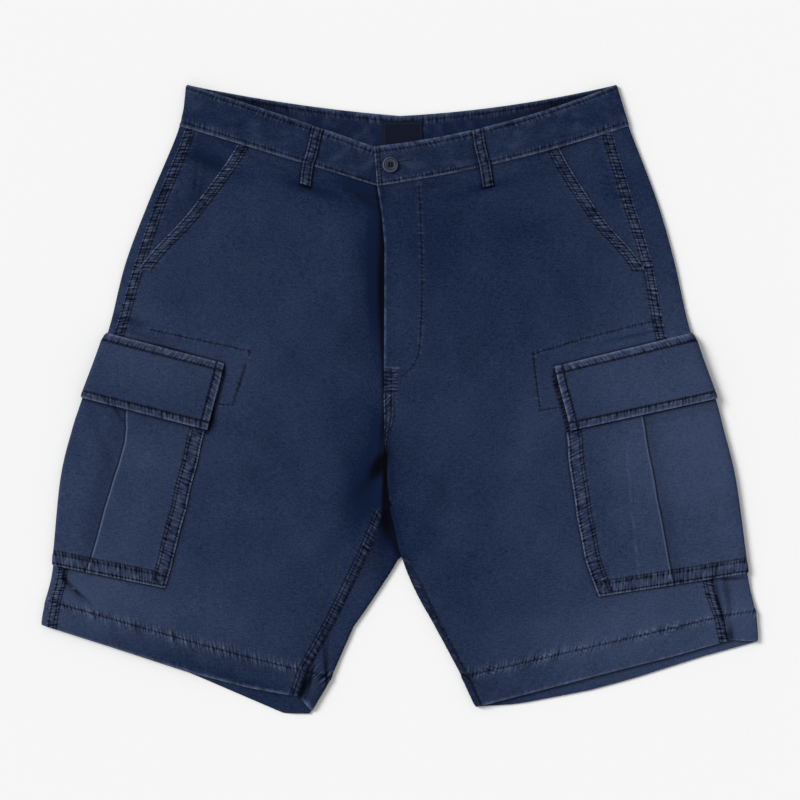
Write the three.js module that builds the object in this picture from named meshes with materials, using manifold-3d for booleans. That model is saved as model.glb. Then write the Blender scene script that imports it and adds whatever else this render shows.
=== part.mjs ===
// Cargo shorts of washed navy cotton, laid flat with the front up, in the pieces that a maker
// cuts and sews. Millimetres, +Z up, +Y towards the waist, +X towards the wearer's left. The
// origin is on the surface that the shorts lie on, at the centre of their outline.
import * as THREE from "three";
import { mergeVertices } from "three/addons/utils/BufferGeometryUtils.js";
import Module from "manifold-3d";

// Walls of the pieces, and the gap that parts them
const clothWall = 1.2;
const bandWall = 2.0;
const flapWall = 1.6;
const loopWall = 1.4;
const labelWall = 0.8;
const seamGap = 0.3;

// Heights of the layers
const bodyRise = 5.0; // from the underside of the back to the face of the front
const leastRise = 2.9; // the two layers still clear each other
const mostRise = 6.3; // and still lie on each other
const bandRaise = 0.8; // the waistband and the turned hem are this much thicker than a panel
const seamRaise = 0.5; // felled seams and stitched-down edges
const pleatRaise = 1.0; // the pocket's pleat edge, and half of it where the flap covers it
const edgeRoll = 1.0; // how far the cloth sinks towards a folded edge
const edgeRollReach = 10;
const wayLength = 20; // a fold turns square to the stretch of cloth that meets it

// Widths of the stitched bands
const seamBand = 8.5;
const bandStep = 1.0; // width of the slope at a raised band's side
const flyWidth = 38;
const facingTuck = 14; // how far the hip pocket's facing runs on under the front
const bandUnderlap = 30; // the button end of the waistband, under the buttonhole end
const flyUnderlap = 8;

// The fly's step: the wearer's left front lies over the right one, down to the fly's foot
const fly = { rightDip: 1.7, dipX: [-75, -30], leftRise: 0.8, riseX: [10, 60], footY: 5, fullY: 40 };

// The button and the woven label inside the back of the waistband
const button = {
  x: -9.5,
  y: 234.9,
  radius: 8,
  height: 3,
  rim: 1.8,
  dish: 0.9,
  holeRadius: 1,
  holeOut: 1.9,
};
const label = { x: 2.5, y: 266, width: 41, height: 26 };

// Sections across each half of the shorts, from the waistband's top edge to the hem. Each runs
// from the outer fold to the front's inner edge on top, and to the back's inner edge below.
// seamIn is how far in from the fold the side seam lies, pocketIn where the slanted pocket's
// edge is, and the sags say how far a section hangs below its straight line.
const sectionColumns = [
  "foldX", "foldY", "seamIn", "pocketIn", "frontX", "frontY", "frontSag", "backX", "backY",
  "backSag",
];
const rightSections = table(sectionColumns, [
  [-213, 315.5, 6, 64, -26, 253.5, -1, 0, 284.5, 3.5], // 0 waistband's top edge
  [-220.5, 274, 6, 61, -23, 214.5, 0, 0, 245.5, 3.5], // 1 waist seam
  [-251, 200, 6.5, 42, -16, 132, 0, 0, 160, 0], // 2 hip
  [-275, 136, 9, 15, -16, 63, 0, 0, 88, 0], // 3 foot of the slanted pocket
  [-292.5, 67, 6, 6, -16, -5, 0, 0, 10, 0], // 4 flap's top edge
  [-316, 2, 5, 5, -15, -76, 0, -4, -70, 0], // 5 flap's lower edge
  [-327, -31, 5, 5, -12.4, -108, 0, -10.15, -109, 0], // 6 crotch
  [-338.5, -80, 5, 5, -31, -153, 0, -1.15, -149.5, 0], // 7 top of the inner leg's gap
  [-347, -165, 5, 5, -65, -223, 0, -46.5, -227, 0], // 8 cargo pocket's lower edge
  [-354, -198, 5, 5, -91.4, -270, 0, -68, -276, 0], // 9 hem stitching
  [-358.5, -225, 5, 5, -100.5, -297, 0, -88.5, -311, 0], // 10 hem's edge
]);
const leftSections = table(sectionColumns, [
  [216.5, 315.5, 12, 72, -26.5, 253.5, 9, 0, 284.5, 5],
  [229, 274, 17, 72, -23, 214, 6, 0, 245.5, 5],
  [257, 200, 23, 57.5, -16, 132, 3, 0, 160, 0],
  [274.5, 139, 22, 31, -16, 63, 0, 0, 88, 0],
  [291, 67, 25, 25, -16, -8, 0, 0, 10, 0],
  [314, 1, 27, 27, -15, -71, 0, -3, -66, 0],
  [322, -28, 29, 29, -7.7, -105, 0, -9.85, -106, 0],
  [335, -82, 32, 32, 6, -154, 0, -0.85, -149.5, 0],
  [347.5, -173, 35, 35, 38, -222, 0, 33, -223, 0],
  [355, -209, 32, 32, 66, -274, 0, 61, -275, 0],
  [358, -241.5, 29, 29, 81, -306, 0, 76, -307, 0],
]);
const waistSeam = 1;
const pocketFoot = 3;
const flapTop = 4;
const flapFoot = 5;
const crotch = 6;
const pocketBottom = 8;
const hemSeam = 9;
const hemEdge = 10;
const seamShift = 0.005; // half a seam's gap, in sections

// The seams down the middle of the front and of the back, above the crotch
const centreFront = table(["y", "x"], [
  [-107, -11.5], [-76, -14], [-40, -15.5], [0, -16.5], [60, -16], [155, -15.6],
  [185, -18.4], [214, -23], [254, -26],
]);
const centreBack = table(["y", "x"], [[-107, -10], [-68, -4], [10, 0], [290, 0]]);

// How far each hem hangs below its straight line, by the share of the way from the outer fold
const hemDrop = {
  rightFront: table(["share", "drop"], [[0, 0], [0.25, 2.5], [0.6, 6], [0.8, 5], [1, 0]]),
  rightBack: table(["share", "drop"], [[0, 0], [0.55, 1], [0.75, 7], [0.9, 11.5], [1, 3]]),
  leftFront: table(["share", "drop"], [[0, 0], [0.1, -8], [0.3, -5], [0.5, -4], [1, 0]]),
  leftBack: table(["share", "drop"], [[0, 0], [0.2, 2.5], [0.45, 8.5], [0.6, 10], [0.85, 7], [1, 0]]),
};

// The cargo pockets: how far in from the fold they and their flaps reach on top, by section,
// where the pleat's edge lies, and how far they run on below
const rightPocket = {
  under: 70,
  flapReach: table(["at", "reach"], [[4, 120.6], [5, 127.5]]),
  reach: table(["at", "reach"], [[4, 124], [5, 125], [6, 128.5], [7, 128.3], [8, 114.3]]),
  pleat: table(["at", "reach"], [[4, 46], [5, 44], [6, 45], [7, 45], [8, 37]]),
};
const leftPocket = {
  under: 48,
  flapReach: table(["at", "reach"], [[4, 140.4], [5, 147.1]]),
  reach: table(["at", "reach"], [[4, 146], [5, 151.4], [6, 157], [7, 162], [7.5, 159.5], [8, 150.4]]),
  pleat: table(["at", "reach"], [[4, 74], [5, 74], [6, 77], [7, 80], [8, 75]]),
};
const pocketStart = 4.12; // the pocket's mouth, under the flap
const pocketIn = seamGap;
const pocketOut = pocketIn + clothWall;
const flapInner = table(["at", "height"], [[4, 0.3], [4.12, 2.3], [5, 2.3]]);
const flapHeight = 2.3 + flapWall;

// How far what lies under the back lifts it off the surface, by section: the waistband and
// hems all across, the pocket and its flap near the fold, fading out over liftFade
const edgeLift = table(["at", "lift"], [[1, bandRaise], [1.25, 0], [8.65, 0], [8.97, bandRaise]]);
const pocketLift = table(["at", "lift"], [
  [3.7, 0], [4, 0.3 + flapWall], [4.12, flapHeight], [5, flapHeight], [5.3, pocketOut],
  [pocketBottom, pocketOut], [8.3, 0],
]);
const liftFade = 60;

// The largest folds: soft ridges and troughs in the layer on top. turn is in degrees from +X.
const foldColumns = ["x", "y", "turn", "length", "width", "height"];
const rightFolds = table(foldColumns, [
  [-165, 185, 60, 60, 35, 0.9], // crown of the hip
  [-97, 208, 0, 16, 12, -1.0], // dent under the belt loop
  [-62, 175, 110, 45, 22, -0.6],
  [-250, 80, -15, 42, 9, -1.1], // trough above the flap
  [-160, -35, 80, 45, 22, 0.8],
  [-130, -92, 10, 55, 18, -0.8],
  [-26, -75, 92, 50, 12, -1.9], // trough beside the crotch seam
  [-86, -255, 64, 42, 12, -0.8], // along the lower inner seam
  [-325, -190, -50, 18, 5, -1.0], // crease at the side seam's foot
  [-190, -200, 20, 60, 22, 0.7],
]);
const leftFolds = table(foldColumns, [
  [65, 165, 95, 55, 14, -1.0], // trough under the belt loop
  [145, 170, -60, 55, 32, 0.8], // crown of the hip
  [0, 140, 90, 50, 10, 0.4],
  [200, 68, 15, 42, 8, -0.9], // trough above the flap
  [128, -62, 40, 45, 15, 0.9],
  [68, -122, -62, 60, 18, -1.0],
  [4, -70, 90, 42, 11, 0.8], // ridge beside the crotch seam
  [77, -270, 0, 14, 9, -0.8],
  [332, -222, 90, 18, 5, -1.0], // fold behind the side seam at the hem
  [170, -215, -20, 60, 22, 0.7],
]);
const crotchFolds = table(foldColumns, [[-10, -107, 90, 24, 18, -1.9]]);

const legs = {
  right: {
    side: -1,
    sections: rightSections,
    pocket: rightPocket,
    folds: [...rightFolds, ...crotchFolds],
    hemFront: hemDrop.rightFront,
    hemBack: hemDrop.rightBack,
  },
  left: {
    side: 1,
    sections: leftSections,
    pocket: leftPocket,
    folds: [...leftFolds, ...crotchFolds],
    hemFront: hemDrop.leftFront,
    hemBack: hemDrop.leftBack,
  },
};

// The sections that every panel is worked out at, so that neighbours and layers match
const bandStations = [0, 0.5, waistSeam - seamShift];
const bodyStations = [
  waistSeam + seamShift, 1.25, 1.45, 1.65, 1.85, 2.05, 2.3, 2.55, 2.8, pocketFoot, 3.2, 3.45, 3.7,
  flapTop, 4.12, 4.25, 4.5, 4.75, flapFoot, 5.15, 5.3, 5.65, crotch, 6.33, 6.66, 7, 7.25, 7.5, 7.75,
  pocketBottom, 8.3, 8.65, 8.97, hemSeam, 9.5, hemEdge,
];

// The belt loops: a strip over the waistband, by section and distance in from the fold
const loopColumns = ["at", "from", "height"];
const loopWidth = 10.5;
const loops = {
  right: table(loopColumns, [
    [0.02, 132.8, 1.2], [0.5, 130.8, 1.5], [0.98, 128.7, 1.3], [1.12, 130.5, 1.1], [1.27, 133.5, 0.6],
  ]),
  left: table(loopColumns, [
    [0.02, 138.5, 1.2], [0.5, 141, 1.5], [0.98, 142.5, 1.3], [1.12, 144.5, 1.1], [1.27, 147, 0.6],
  ]),
};

// One object for each row, with a value for each named column.
function table(columns, rows) {
  return rows.map((row) => Object.fromEntries(columns.map((name, i) => [name, row[i]])));
}

function smooth(from, to, value) {
  const t = THREE.MathUtils.clamp((value - from) / (to - from), 0, 1);
  return t * t * (3 - 2 * t);
}

// The value of a table's last column at a place in its first, straight between its rows.
function lookUp(rows, place) {
  const [key, column] = Object.keys(rows[0]);
  if (place <= rows[0][key]) return rows[0][column];
  const next = rows.findIndex((row) => row[key] >= place);
  if (next < 0) return rows[rows.length - 1][column];
  const [a, b] = [rows[next - 1], rows[next]];
  return THREE.MathUtils.mapLinear(place, a[key], b[key], a[column], b[column]);
}

// A column of the sections between rows: a smooth curve through them, or straight lines.
function between(sections, column, at, curved) {
  const last = sections.length - 1;
  const i = Math.min(Math.floor(at), last - 1);
  const value = (k) => sections[THREE.MathUtils.clamp(k, 0, last)][column];
  const t = at - i;
  if (!curved) return value(i) + (value(i + 1) - value(i)) * t;
  const [before, a, b, after] = [value(i - 1), value(i), value(i + 1), value(i + 2)];
  const [goA, goB] = [(b - before) / 2, (after - a) / 2];
  const square = 3 * (b - a) - 2 * goA - goB;
  return a + goA * t + square * t * t + (2 * (a - b) + goA + goB) * t * t * t;
}

// One section of a leg: its three ends in plan, and what lies along it.
function sectionAt(leg, at) {
  const read = (column, curved = false) => between(leg.sections, column, at, curved);
  const fold = new THREE.Vector2(read("foldX", true), read("foldY", true));
  const front = new THREE.Vector2(read("frontX"), read("frontY"));
  const back = new THREE.Vector2(read("backX"), read("backY"));
  if (at < crotch) {
    const onSeam = lookUp(centreFront, front.y) + (leg.side * seamGap) / 2;
    front.x = THREE.MathUtils.lerp(onSeam, front.x, smooth(5.7, crotch, at));
    back.x = lookUp(centreBack, back.y) + (leg.side * seamGap) / 2;
  }
  return {
    at,
    fold,
    front,
    back,
    seamIn: read("seamIn"),
    pocketIn: at < pocketFoot ? read("pocketIn") : read("seamIn"),
    frontSag: read("frontSag"),
    backSag: read("backSag"),
    hem: smooth(pocketBottom + 0.5, hemEdge, at),
    frontLength: fold.distanceTo(front),
    backLength: fold.distanceTo(back),
  };
}

// A point in plan, that far in from the outer fold on the layer on top.
function onFront(leg, s, inwards) {
  const share = inwards / s.frontLength;
  const sag = s.frontSag * 4 * share * (1 - share) + s.hem * lookUp(leg.hemFront, share);
  return s.fold.clone().lerp(s.front, share).sub(new THREE.Vector2(0, sag));
}

// The same on the layer below.
function onBack(leg, s, inwards) {
  const share = inwards / s.backLength;
  const sag = s.backSag * 4 * share * (1 - share) + s.hem * lookUp(leg.hemBack, share);
  return s.fold.clone().lerp(s.back, share).sub(new THREE.Vector2(0, sag));
}

function liftAt(leg, at, inwards) {
  const fade = 1 - smooth(leg.pocket.under, leg.pocket.under + liftFade, inwards);
  return lookUp(edgeLift, at) + lookUp(pocketLift, at) * fade;
}

// From the underside of the back to the face of the front, with folds and the fly's step.
function riseAt(leg, s, p) {
  let rise = bodyRise;
  for (const fold of leg.folds) {
    const turn = THREE.MathUtils.degToRad(fold.turn);
    const offset = p.clone().sub(new THREE.Vector2(fold.x, fold.y));
    const along = offset.x * Math.cos(turn) + offset.y * Math.sin(turn);
    const across = offset.y * Math.cos(turn) - offset.x * Math.sin(turn);
    rise += fold.height * Math.exp(-((along / fold.length) ** 2) - (across / fold.width) ** 2);
  }
  const down = smooth(fly.footY, fly.fullY, p.y);
  const dip = fly.rightDip * smooth(...fly.dipX, p.x);
  rise += down * (leg.side < 0 ? -dip : fly.leftRise * (1 - smooth(...fly.riseX, p.x)));
  rise = THREE.MathUtils.clamp(rise, leastRise, mostRise);
  const toFold = Math.min(p.distanceTo(s.fold), s.at >= crotch ? p.distanceTo(s.back) : Infinity);
  const roll = edgeRoll * Math.max(0, 1 - toFold / edgeRollReach) ** 2;
  return Math.max(rise - roll, leastRise - 0.3);
}

// How thick the folded edge is at a section, half of it being the fold's radius.
function turnRadius(leg, s, inner) {
  const share = inner ? 1 : 2.2 / s.frontLength;
  const p = inner ? s.back : s.fold.clone().lerp(s.front, share);
  return riseAt(leg, s, p) / 2;
}

// A point of the cloth's skin, moved out by height. Zones run round the leg: "under" and "top"
// are distances in from the outer fold, "turn" an angle round it from top (0) to below (pi),
// "innerTurn" the same round the inner fold, and "innerTop" a distance in from that fold.
function skinPoint(leg, at, place, height) {
  const s = sectionAt(leg, at);
  const { zone, value } = place;
  if (zone === "top") {
    const p = onFront(leg, s, value);
    return new THREE.Vector3(p.x, p.y, liftAt(leg, at, value) + riseAt(leg, s, p) + height);
  }
  if (zone === "under") {
    const p = onBack(leg, s, value);
    return new THREE.Vector3(p.x, p.y, liftAt(leg, at, value) - height);
  }
  const inner = zone !== "turn";
  const radius = turnRadius(leg, s, inner);
  const centre = inner ? s.back : s.fold;
  const onTop = inner ? s.front.clone().sub(s.back) : onFront(leg, s, wayLength).sub(s.fold);
  const below = onBack(leg, s, inner ? s.backLength - wayLength : wayLength).sub(centre);
  const base = liftAt(leg, at, inner ? s.backLength : 0);
  if (zone === "innerTop") {
    const p = s.back.clone().addScaledVector(onTop.normalize(), value);
    return new THREE.Vector3(p.x, p.y, base + riseAt(leg, s, p) + height);
  }
  const way = onTop.normalize().lerp(below.normalize(), value / Math.PI).normalize();
  const p = centre.clone().addScaledVector(way, radius - (radius + height) * Math.sin(value));
  return new THREE.Vector3(p.x, p.y, base + radius + (radius + height) * Math.cos(value));
}

// A closed wall from a grid: face(i, j, outer) gives the point of either face, and keep says
// which cells the piece has. Its faces are turned to point out.
function wallGeometry(rows, columns, face, keep = () => true) {
  const positions = [];
  const index = [];
  const point = (i, j, outer) => (i * columns + j) * 2 + (outer ? 1 : 0);
  for (let i = 0; i < rows; i++) {
    for (let j = 0; j < columns; j++) {
      for (const outer of [false, true]) positions.push(...face(i, j, outer).toArray());
    }
  }
  const has = (i, j) => i >= 0 && j >= 0 && i < rows - 1 && j < columns - 1 && keep(i, j);
  const quad = (a, b, c, d) => index.push(a, b, c, a, c, d);
  for (let i = 0; i < rows - 1; i++) {
    for (let j = 0; j < columns - 1; j++) {
      if (!has(i, j)) continue;
      quad(...[[i, j], [i + 1, j], [i + 1, j + 1], [i, j + 1]].map((at) => point(...at, true)));
      index.push(point(i, j, false), point(i + 1, j + 1, false), point(i + 1, j, false));
      index.push(point(i, j, false), point(i, j + 1, false), point(i + 1, j + 1, false));
      const rim = (a, b) =>
        quad(point(...b, true), point(...a, true), point(...a, false), point(...b, false));
      if (!has(i - 1, j)) rim([i, j + 1], [i, j]);
      if (!has(i + 1, j)) rim([i + 1, j], [i + 1, j + 1]);
      if (!has(i, j - 1)) rim([i, j], [i + 1, j]);
      if (!has(i, j + 1)) rim([i + 1, j + 1], [i, j + 1]);
    }
  }
  const geometry = new THREE.BufferGeometry();
  geometry.setAttribute("position", new THREE.Float32BufferAttribute(positions, 3));
  geometry.setIndex(signedVolume(positions, index) < 0 ? index.reverse() : index);
  geometry.computeVertexNormals();
  return geometry;
}

function signedVolume(positions, index) {
  const corner = (k) => new THREE.Vector3().fromArray(positions, index[k] * 3);
  let sum = 0;
  for (let k = 0; k < index.length; k += 3) sum += corner(k).dot(corner(k + 1).cross(corner(k + 2)));
  return sum / 6;
}

// A piece that lies on a leg's skin: places(s) lists where its columns are at a section, and
// heights(at, place, j) gives the inner and outer face's height over the skin.
function skinPiece(leg, stations, places, heights, keep) {
  const columns = places(sectionAt(leg, stations[0])).length;
  const grid = stations.map((at) => places(sectionAt(leg, at)));
  const face = (i, j, outer) => {
    const place = grid[i][j];
    return skinPoint(leg, stations[i], place, heights(stations[i], place, j)[outer ? 1 : 0]);
  };
  return wallGeometry(stations.length, columns, face, keep && ((i, j) => keep(stations[i], j)));
}

const top = (value) => ({ zone: "top", value });
const under = (value) => ({ zone: "under", value });
const turnSteps = 6;
const turn = (zone, from, to) =>
  Array.from({ length: turnSteps - 1 }, (_, k) => ({
    zone,
    value: THREE.MathUtils.lerp(from, to, (k + 1) / turnSteps),
  }));

// Evenly spaced values from one to another, without the first.
function steps(from, to, count) {
  return Array.from({ length: count }, (_, k) => THREE.MathUtils.lerp(from, to, (k + 1) / count));
}

// The columns of what wraps the outer fold: from below, round it, and up to the side seam.
function wrapColumns(leg, s) {
  const radius = turnRadius(leg, s, false);
  const seam = Math.max(s.seamIn, radius + 0.5);
  return [
    under(leg.pocket.under), under(leg.pocket.under / 2), under(radius),
    ...turn("turn", Math.PI, 0), top((seam + radius) / 2), top(seam),
  ];
}

const pocketSpan = 6; // columns between the side seam's band and the cargo pocket's edge
function pocketColumns(leg, s) {
  return steps(s.pocketIn + seamBand + bandStep, lookUp(leg.pocket.reach, s.at), pocketSpan);
}

// The fly's stitched band narrows to nothing at its foot, in a J.
function flyBand(at) {
  return 12 + (flyWidth - 12) * (1 - smooth(3.1, 3.55, at));
}

// A front: from the side seam, or the slanted pocket's edge, to the middle seam or inner seam.
function frontPiece(leg) {
  const rightFly = (at) => flyUnderlap * (1 - smooth(3.2, 3.5, at));
  const end = (s) => s.frontLength + (leg.side < 0 ? rightFly(s.at) : 0);
  const places = (s) => {
    const outer = s.pocketIn + seamGap / 2;
    const pocket = pocketColumns(leg, s);
    const flyEdge = s.frontLength - flyBand(s.at);
    const middle = steps(pocket[pocketSpan - 1], flyEdge - bandStep, 4);
    const innerBand = s.frontLength - seamBand;
    return [
      outer, outer + seamBand, outer + seamBand + bandStep, ...pocket, ...middle,
      flyEdge, innerBand - bandStep, innerBand, end(s),
    ].map(top);
  };
  const columns = 3 + pocketSpan + 4 + 4;
  const outerBandAt = (at) => at < 3.9 || at > pocketBottom + 0.2;
  const heights = (at, place, j) => {
    let raise = at >= hemSeam ? bandRaise : 0;
    if (j < 2 && outerBandAt(at) && at < hemSeam) raise = seamRaise;
    const onInnerSeam = at > (leg.side < 0 ? crotch : 3.6) && at < hemSeam;
    if (j >= columns - 2 && onInnerSeam) raise = seamRaise;
    if (j >= columns - 4 && leg.side > 0 && at < 3.6) raise = seamRaise;
    return [-clothWall, raise];
  };
  return skinPiece(leg, bodyStations, places, heights);
}

// A back: it lies below, and turns round the outer fold up to the side seam. Below the crotch
// it also turns round the inner fold, up to the inner seam.
function backPiece(leg) {
  const underSpan = 3;
  const places = (s) => {
    const outerRadius = turnRadius(leg, s, false);
    const innerRadius = turnRadius(leg, s, true);
    const seam = s.seamIn - seamGap / 2;
    const last = s.at < crotch ? s.backLength : s.backLength - innerRadius;
    const strip = s.front.distanceTo(s.back) - seamGap;
    const inner = (value) => ({ zone: "innerTop", value });
    return [
      top(seam), top((seam + outerRadius) / 2), ...turn("turn", 0, Math.PI),
      under(outerRadius), under(leg.pocket.under / 2), under(leg.pocket.under),
      ...steps(leg.pocket.under, leg.pocket.under + liftFade, underSpan).map(under),
      under((leg.pocket.under + liftFade + last) / 2), under(last),
      ...turn("innerTurn", Math.PI, 0), inner(Math.min(innerRadius, strip - 0.3)), inner(strip),
    ];
  };
  const wrapStart = 2 + (turnSteps - 1) + 3 + underSpan + 2 - 1;
  const heights = (at) => [-clothWall, at >= hemSeam ? bandRaise : 0];
  return skinPiece(leg, bodyStations, places, heights, (at, j) => j < wrapStart || at >= crotch);
}

// Half of the waistband: from the middle of the back, round the fold, to the front. The
// wearer's right half runs on under the left one and carries the button.
function waistbandPiece(leg) {
  const places = (s) => {
    const radius = turnRadius(leg, s, false);
    const end = s.frontLength + (leg.side < 0 ? bandUnderlap : 0);
    return [
      under(s.backLength), ...steps(s.backLength, radius, 6).map(under), ...turn("turn", Math.PI, 0),
      top(radius), ...steps(radius, s.frontLength - 60, 7).map(top),
      ...steps(s.frontLength - 60, end, 4).map(top),
    ];
  };
  return skinPiece(leg, bandStations, places, () => [bandRaise - bandWall, bandRaise]);
}

// The hip pocket's facing: the side piece that shows behind the slanted opening. It is level
// with the side seam, and dips under the front at the pocket's edge.
function facingPiece(leg) {
  const stations = bodyStations.filter((at) => at < pocketFoot);
  const places = (s) => {
    const seam = s.seamIn + seamGap / 2;
    const far = s.pocketIn + facingTuck;
    const width = Math.min(seamBand, (s.pocketIn - seam) * 0.4);
    const slope = Math.min(bandStep, (s.pocketIn - seam) * 0.1);
    return [seam, seam + width, seam + width + slope, ...steps(seam + width + slope, far, 5)].map(top);
  };
  const heights = (at, place, j) => {
    const s = sectionAt(leg, at);
    const share = (place.value - s.seamIn) / (s.pocketIn - s.seamIn);
    const dip = (clothWall + seamGap) * smooth(0.2, 0.85, share);
    return [-dip - clothWall, -dip + (j < 2 ? seamRaise : 0)];
  };
  return skinPiece(leg, stations, places, heights);
}

// A cargo pocket: its inner strip ends in the pleat's edge, over the strip that wraps the fold.
function cargoPocketPiece(leg) {
  const stations = bodyStations.filter((at) => at >= pocketStart && at <= pocketBottom);
  const places = (s) => {
    const pleat = lookUp(leg.pocket.pleat, s.at);
    const values = [...pocketColumns(leg, s), pleat, pleat + bandStep].sort((a, b) => a - b);
    return [...wrapColumns(leg, s), ...values.map(top)];
  };
  const heights = (at, place) => {
    if (place.zone !== "top") return [pocketIn, pocketOut];
    const pleat = lookUp(leg.pocket.pleat, at);
    const beyond = place.value - pleat;
    const most = pleatRaise * THREE.MathUtils.lerp(0.4, 1, smooth(flapFoot, flapFoot + 0.15, at));
    const raise = beyond < bandStep / 2 ? 0 : most * (1 - smooth(bandStep, 45, beyond));
    return [pocketIn, pocketOut + raise];
  };
  return skinPiece(leg, stations, places, heights);
}

// A flap: sewn down along its top edge, and free over the pocket's mouth.
function cargoFlapPiece(leg) {
  const stations = bodyStations.filter((at) => at >= flapTop && at <= flapFoot);
  const places = (s) => {
    const values = [...pocketColumns(leg, s).slice(0, -1), lookUp(leg.pocket.flapReach, s.at)];
    return [...wrapColumns(leg, s), ...values.map(top)];
  };
  const heights = (at) => {
    const inner = lookUp(flapInner, at);
    return [inner, inner + flapWall];
  };
  return skinPiece(leg, stations, places, heights);
}

// A belt loop: a strip from the waistband's top edge to below its seam.
function beltLoopPiece(leg, rows) {
  const face = (i, j, outer) => {
    const row = rows[i];
    const height = row.height + (outer ? loopWall : 0);
    return skinPoint(leg, row.at, top(row.from + j * loopWidth), height);
  };
  return wallGeometry(rows.length, 2, face);
}

// A button with a raised rim and four holes, cut with manifold-3d.
async function buttonPiece() {
  const { radius, height, rim, dish, holeRadius, holeOut } = button;
  const profile = [
    [0, 0], [radius - 1, 0], [radius, 0.8], [radius, height - 0.8], [radius - 0.7, height],
    [radius - rim, height], [radius - rim - 0.8, height - dish], [0, height - dish],
  ].map(([x, y]) => new THREE.Vector2(x, y));
  const wasm = await Module();
  wasm.setup();
  const solid = (geometry) => {
    geometry.deleteAttribute("normal");
    geometry.deleteAttribute("uv");
    const merged = mergeVertices(geometry, 1e-4);
    const triVerts = new Uint32Array(merged.index.array);
    return new wasm.Manifold(
      new wasm.Mesh({ numProp: 3, vertProperties: merged.attributes.position.array, triVerts }),
    );
  };
  let body = solid(new THREE.LatheGeometry(profile, 28).rotateX(Math.PI / 2));
  for (let k = 0; k < 4; k++) {
    const angle = Math.PI / 4 + (k * Math.PI) / 2;
    const hole = new THREE.CylinderGeometry(holeRadius, holeRadius, height * 3, 10);
    hole.rotateX(Math.PI / 2).translate(holeOut * Math.cos(angle), holeOut * Math.sin(angle), 0);
    body = body.subtract(solid(hole));
  }
  const made = body.getMesh();
  const corners = new THREE.BufferAttribute(new Float32Array(made.vertProperties), 3);
  const geometry = new THREE.BufferGeometry().setAttribute("position", corners);
  geometry.setIndex(new THREE.BufferAttribute(new Uint32Array(made.triVerts), 1));
  geometry.computeVertexNormals();
  return geometry;
}

const navy = new THREE.MeshStandardMaterial({ color: 0x2a3650, roughness: 0.92, metalness: 0 });
const buttonPlastic = new THREE.MeshStandardMaterial({ color: 0x39414f, roughness: 0.45, metalness: 0 });
const labelWeave = new THREE.MeshStandardMaterial({ color: 0x14161c, roughness: 0.8, metalness: 0 });

const shorts = new THREE.Group();
function add(name, geometry, material = navy) {
  const mesh = new THREE.Mesh(geometry, material);
  mesh.name = name;
  shorts.add(mesh);
  return mesh;
}

for (const [name, leg] of Object.entries(legs)) {
  add(`front_${name}`, frontPiece(leg));
  add(`back_${name}`, backPiece(leg));
  add(`waistband_${name}`, waistbandPiece(leg));
  add(`hip_pocket_facing_${name}`, facingPiece(leg));
  add(`cargo_pocket_${name}`, cargoPocketPiece(leg));
  add(`cargo_flap_${name}`, cargoFlapPiece(leg));
  add(`belt_loop_${name}`, beltLoopPiece(leg, loops[name]));
}

const buttonMesh = add("button", await buttonPiece(), buttonPlastic);
const bandFace = skinPoint(legs.left, 0.5, top(sectionAt(legs.left, 0.5).frontLength - 15), bandRaise);
buttonMesh.position.set(button.x, button.y, bandFace.z + seamGap);

const labelMesh = add("label", new THREE.BoxGeometry(label.width, label.height, labelWall), labelWeave);
labelMesh.position.set(label.x, label.y, bandWall + seamGap + labelWall / 2);

export default shorts;
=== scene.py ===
# Washed navy cargo shorts laid flat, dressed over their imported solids.
import math

import bpy
import numpy as np
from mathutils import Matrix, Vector


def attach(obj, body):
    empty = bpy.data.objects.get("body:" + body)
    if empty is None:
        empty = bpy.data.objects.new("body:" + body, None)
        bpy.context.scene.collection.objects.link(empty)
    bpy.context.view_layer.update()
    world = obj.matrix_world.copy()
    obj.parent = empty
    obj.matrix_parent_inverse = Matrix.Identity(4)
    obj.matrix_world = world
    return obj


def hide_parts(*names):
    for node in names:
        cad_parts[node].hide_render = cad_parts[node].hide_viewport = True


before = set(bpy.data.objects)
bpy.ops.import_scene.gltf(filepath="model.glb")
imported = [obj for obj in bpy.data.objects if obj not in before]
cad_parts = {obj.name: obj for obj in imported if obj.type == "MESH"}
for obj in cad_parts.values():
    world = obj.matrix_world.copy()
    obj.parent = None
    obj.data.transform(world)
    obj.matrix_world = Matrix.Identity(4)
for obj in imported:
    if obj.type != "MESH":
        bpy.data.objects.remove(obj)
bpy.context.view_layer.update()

mm = 0.001  # lengths below are in millimetres, and become metres where a mesh is made

# The cloth, the same walls and heights as the solids
cloth = {
    "wall": 1.2, "bandWall": 2.0, "flapWall": 1.6, "gap": 0.3,
    "rise": 5.0, "leastRise": 2.9, "mostRise": 8.5, "bandRaise": 0.8,
    "roll": 1.0, "rollReach": 10.0,
    "unevenness": 0.28,  # soft waves all over the layer on top
}
flyStep = {"rightDip": 2.0, "dipFrom": -62, "dipTo": -20, "leftRise": 0.8, "riseFrom": 10,
           "riseTo": 60, "footY": 5, "fullY": 40}

# Stations run from the waistband's top edge (0) down to the hem's edge (10)
waistAt, pocketFootAt, flapTopAt, flapFootAt, crotchAt = 1, 3, 4, 5, 6
pocketEndAt, hemSeamAt, hemAt = 8, 9, 10

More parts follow.
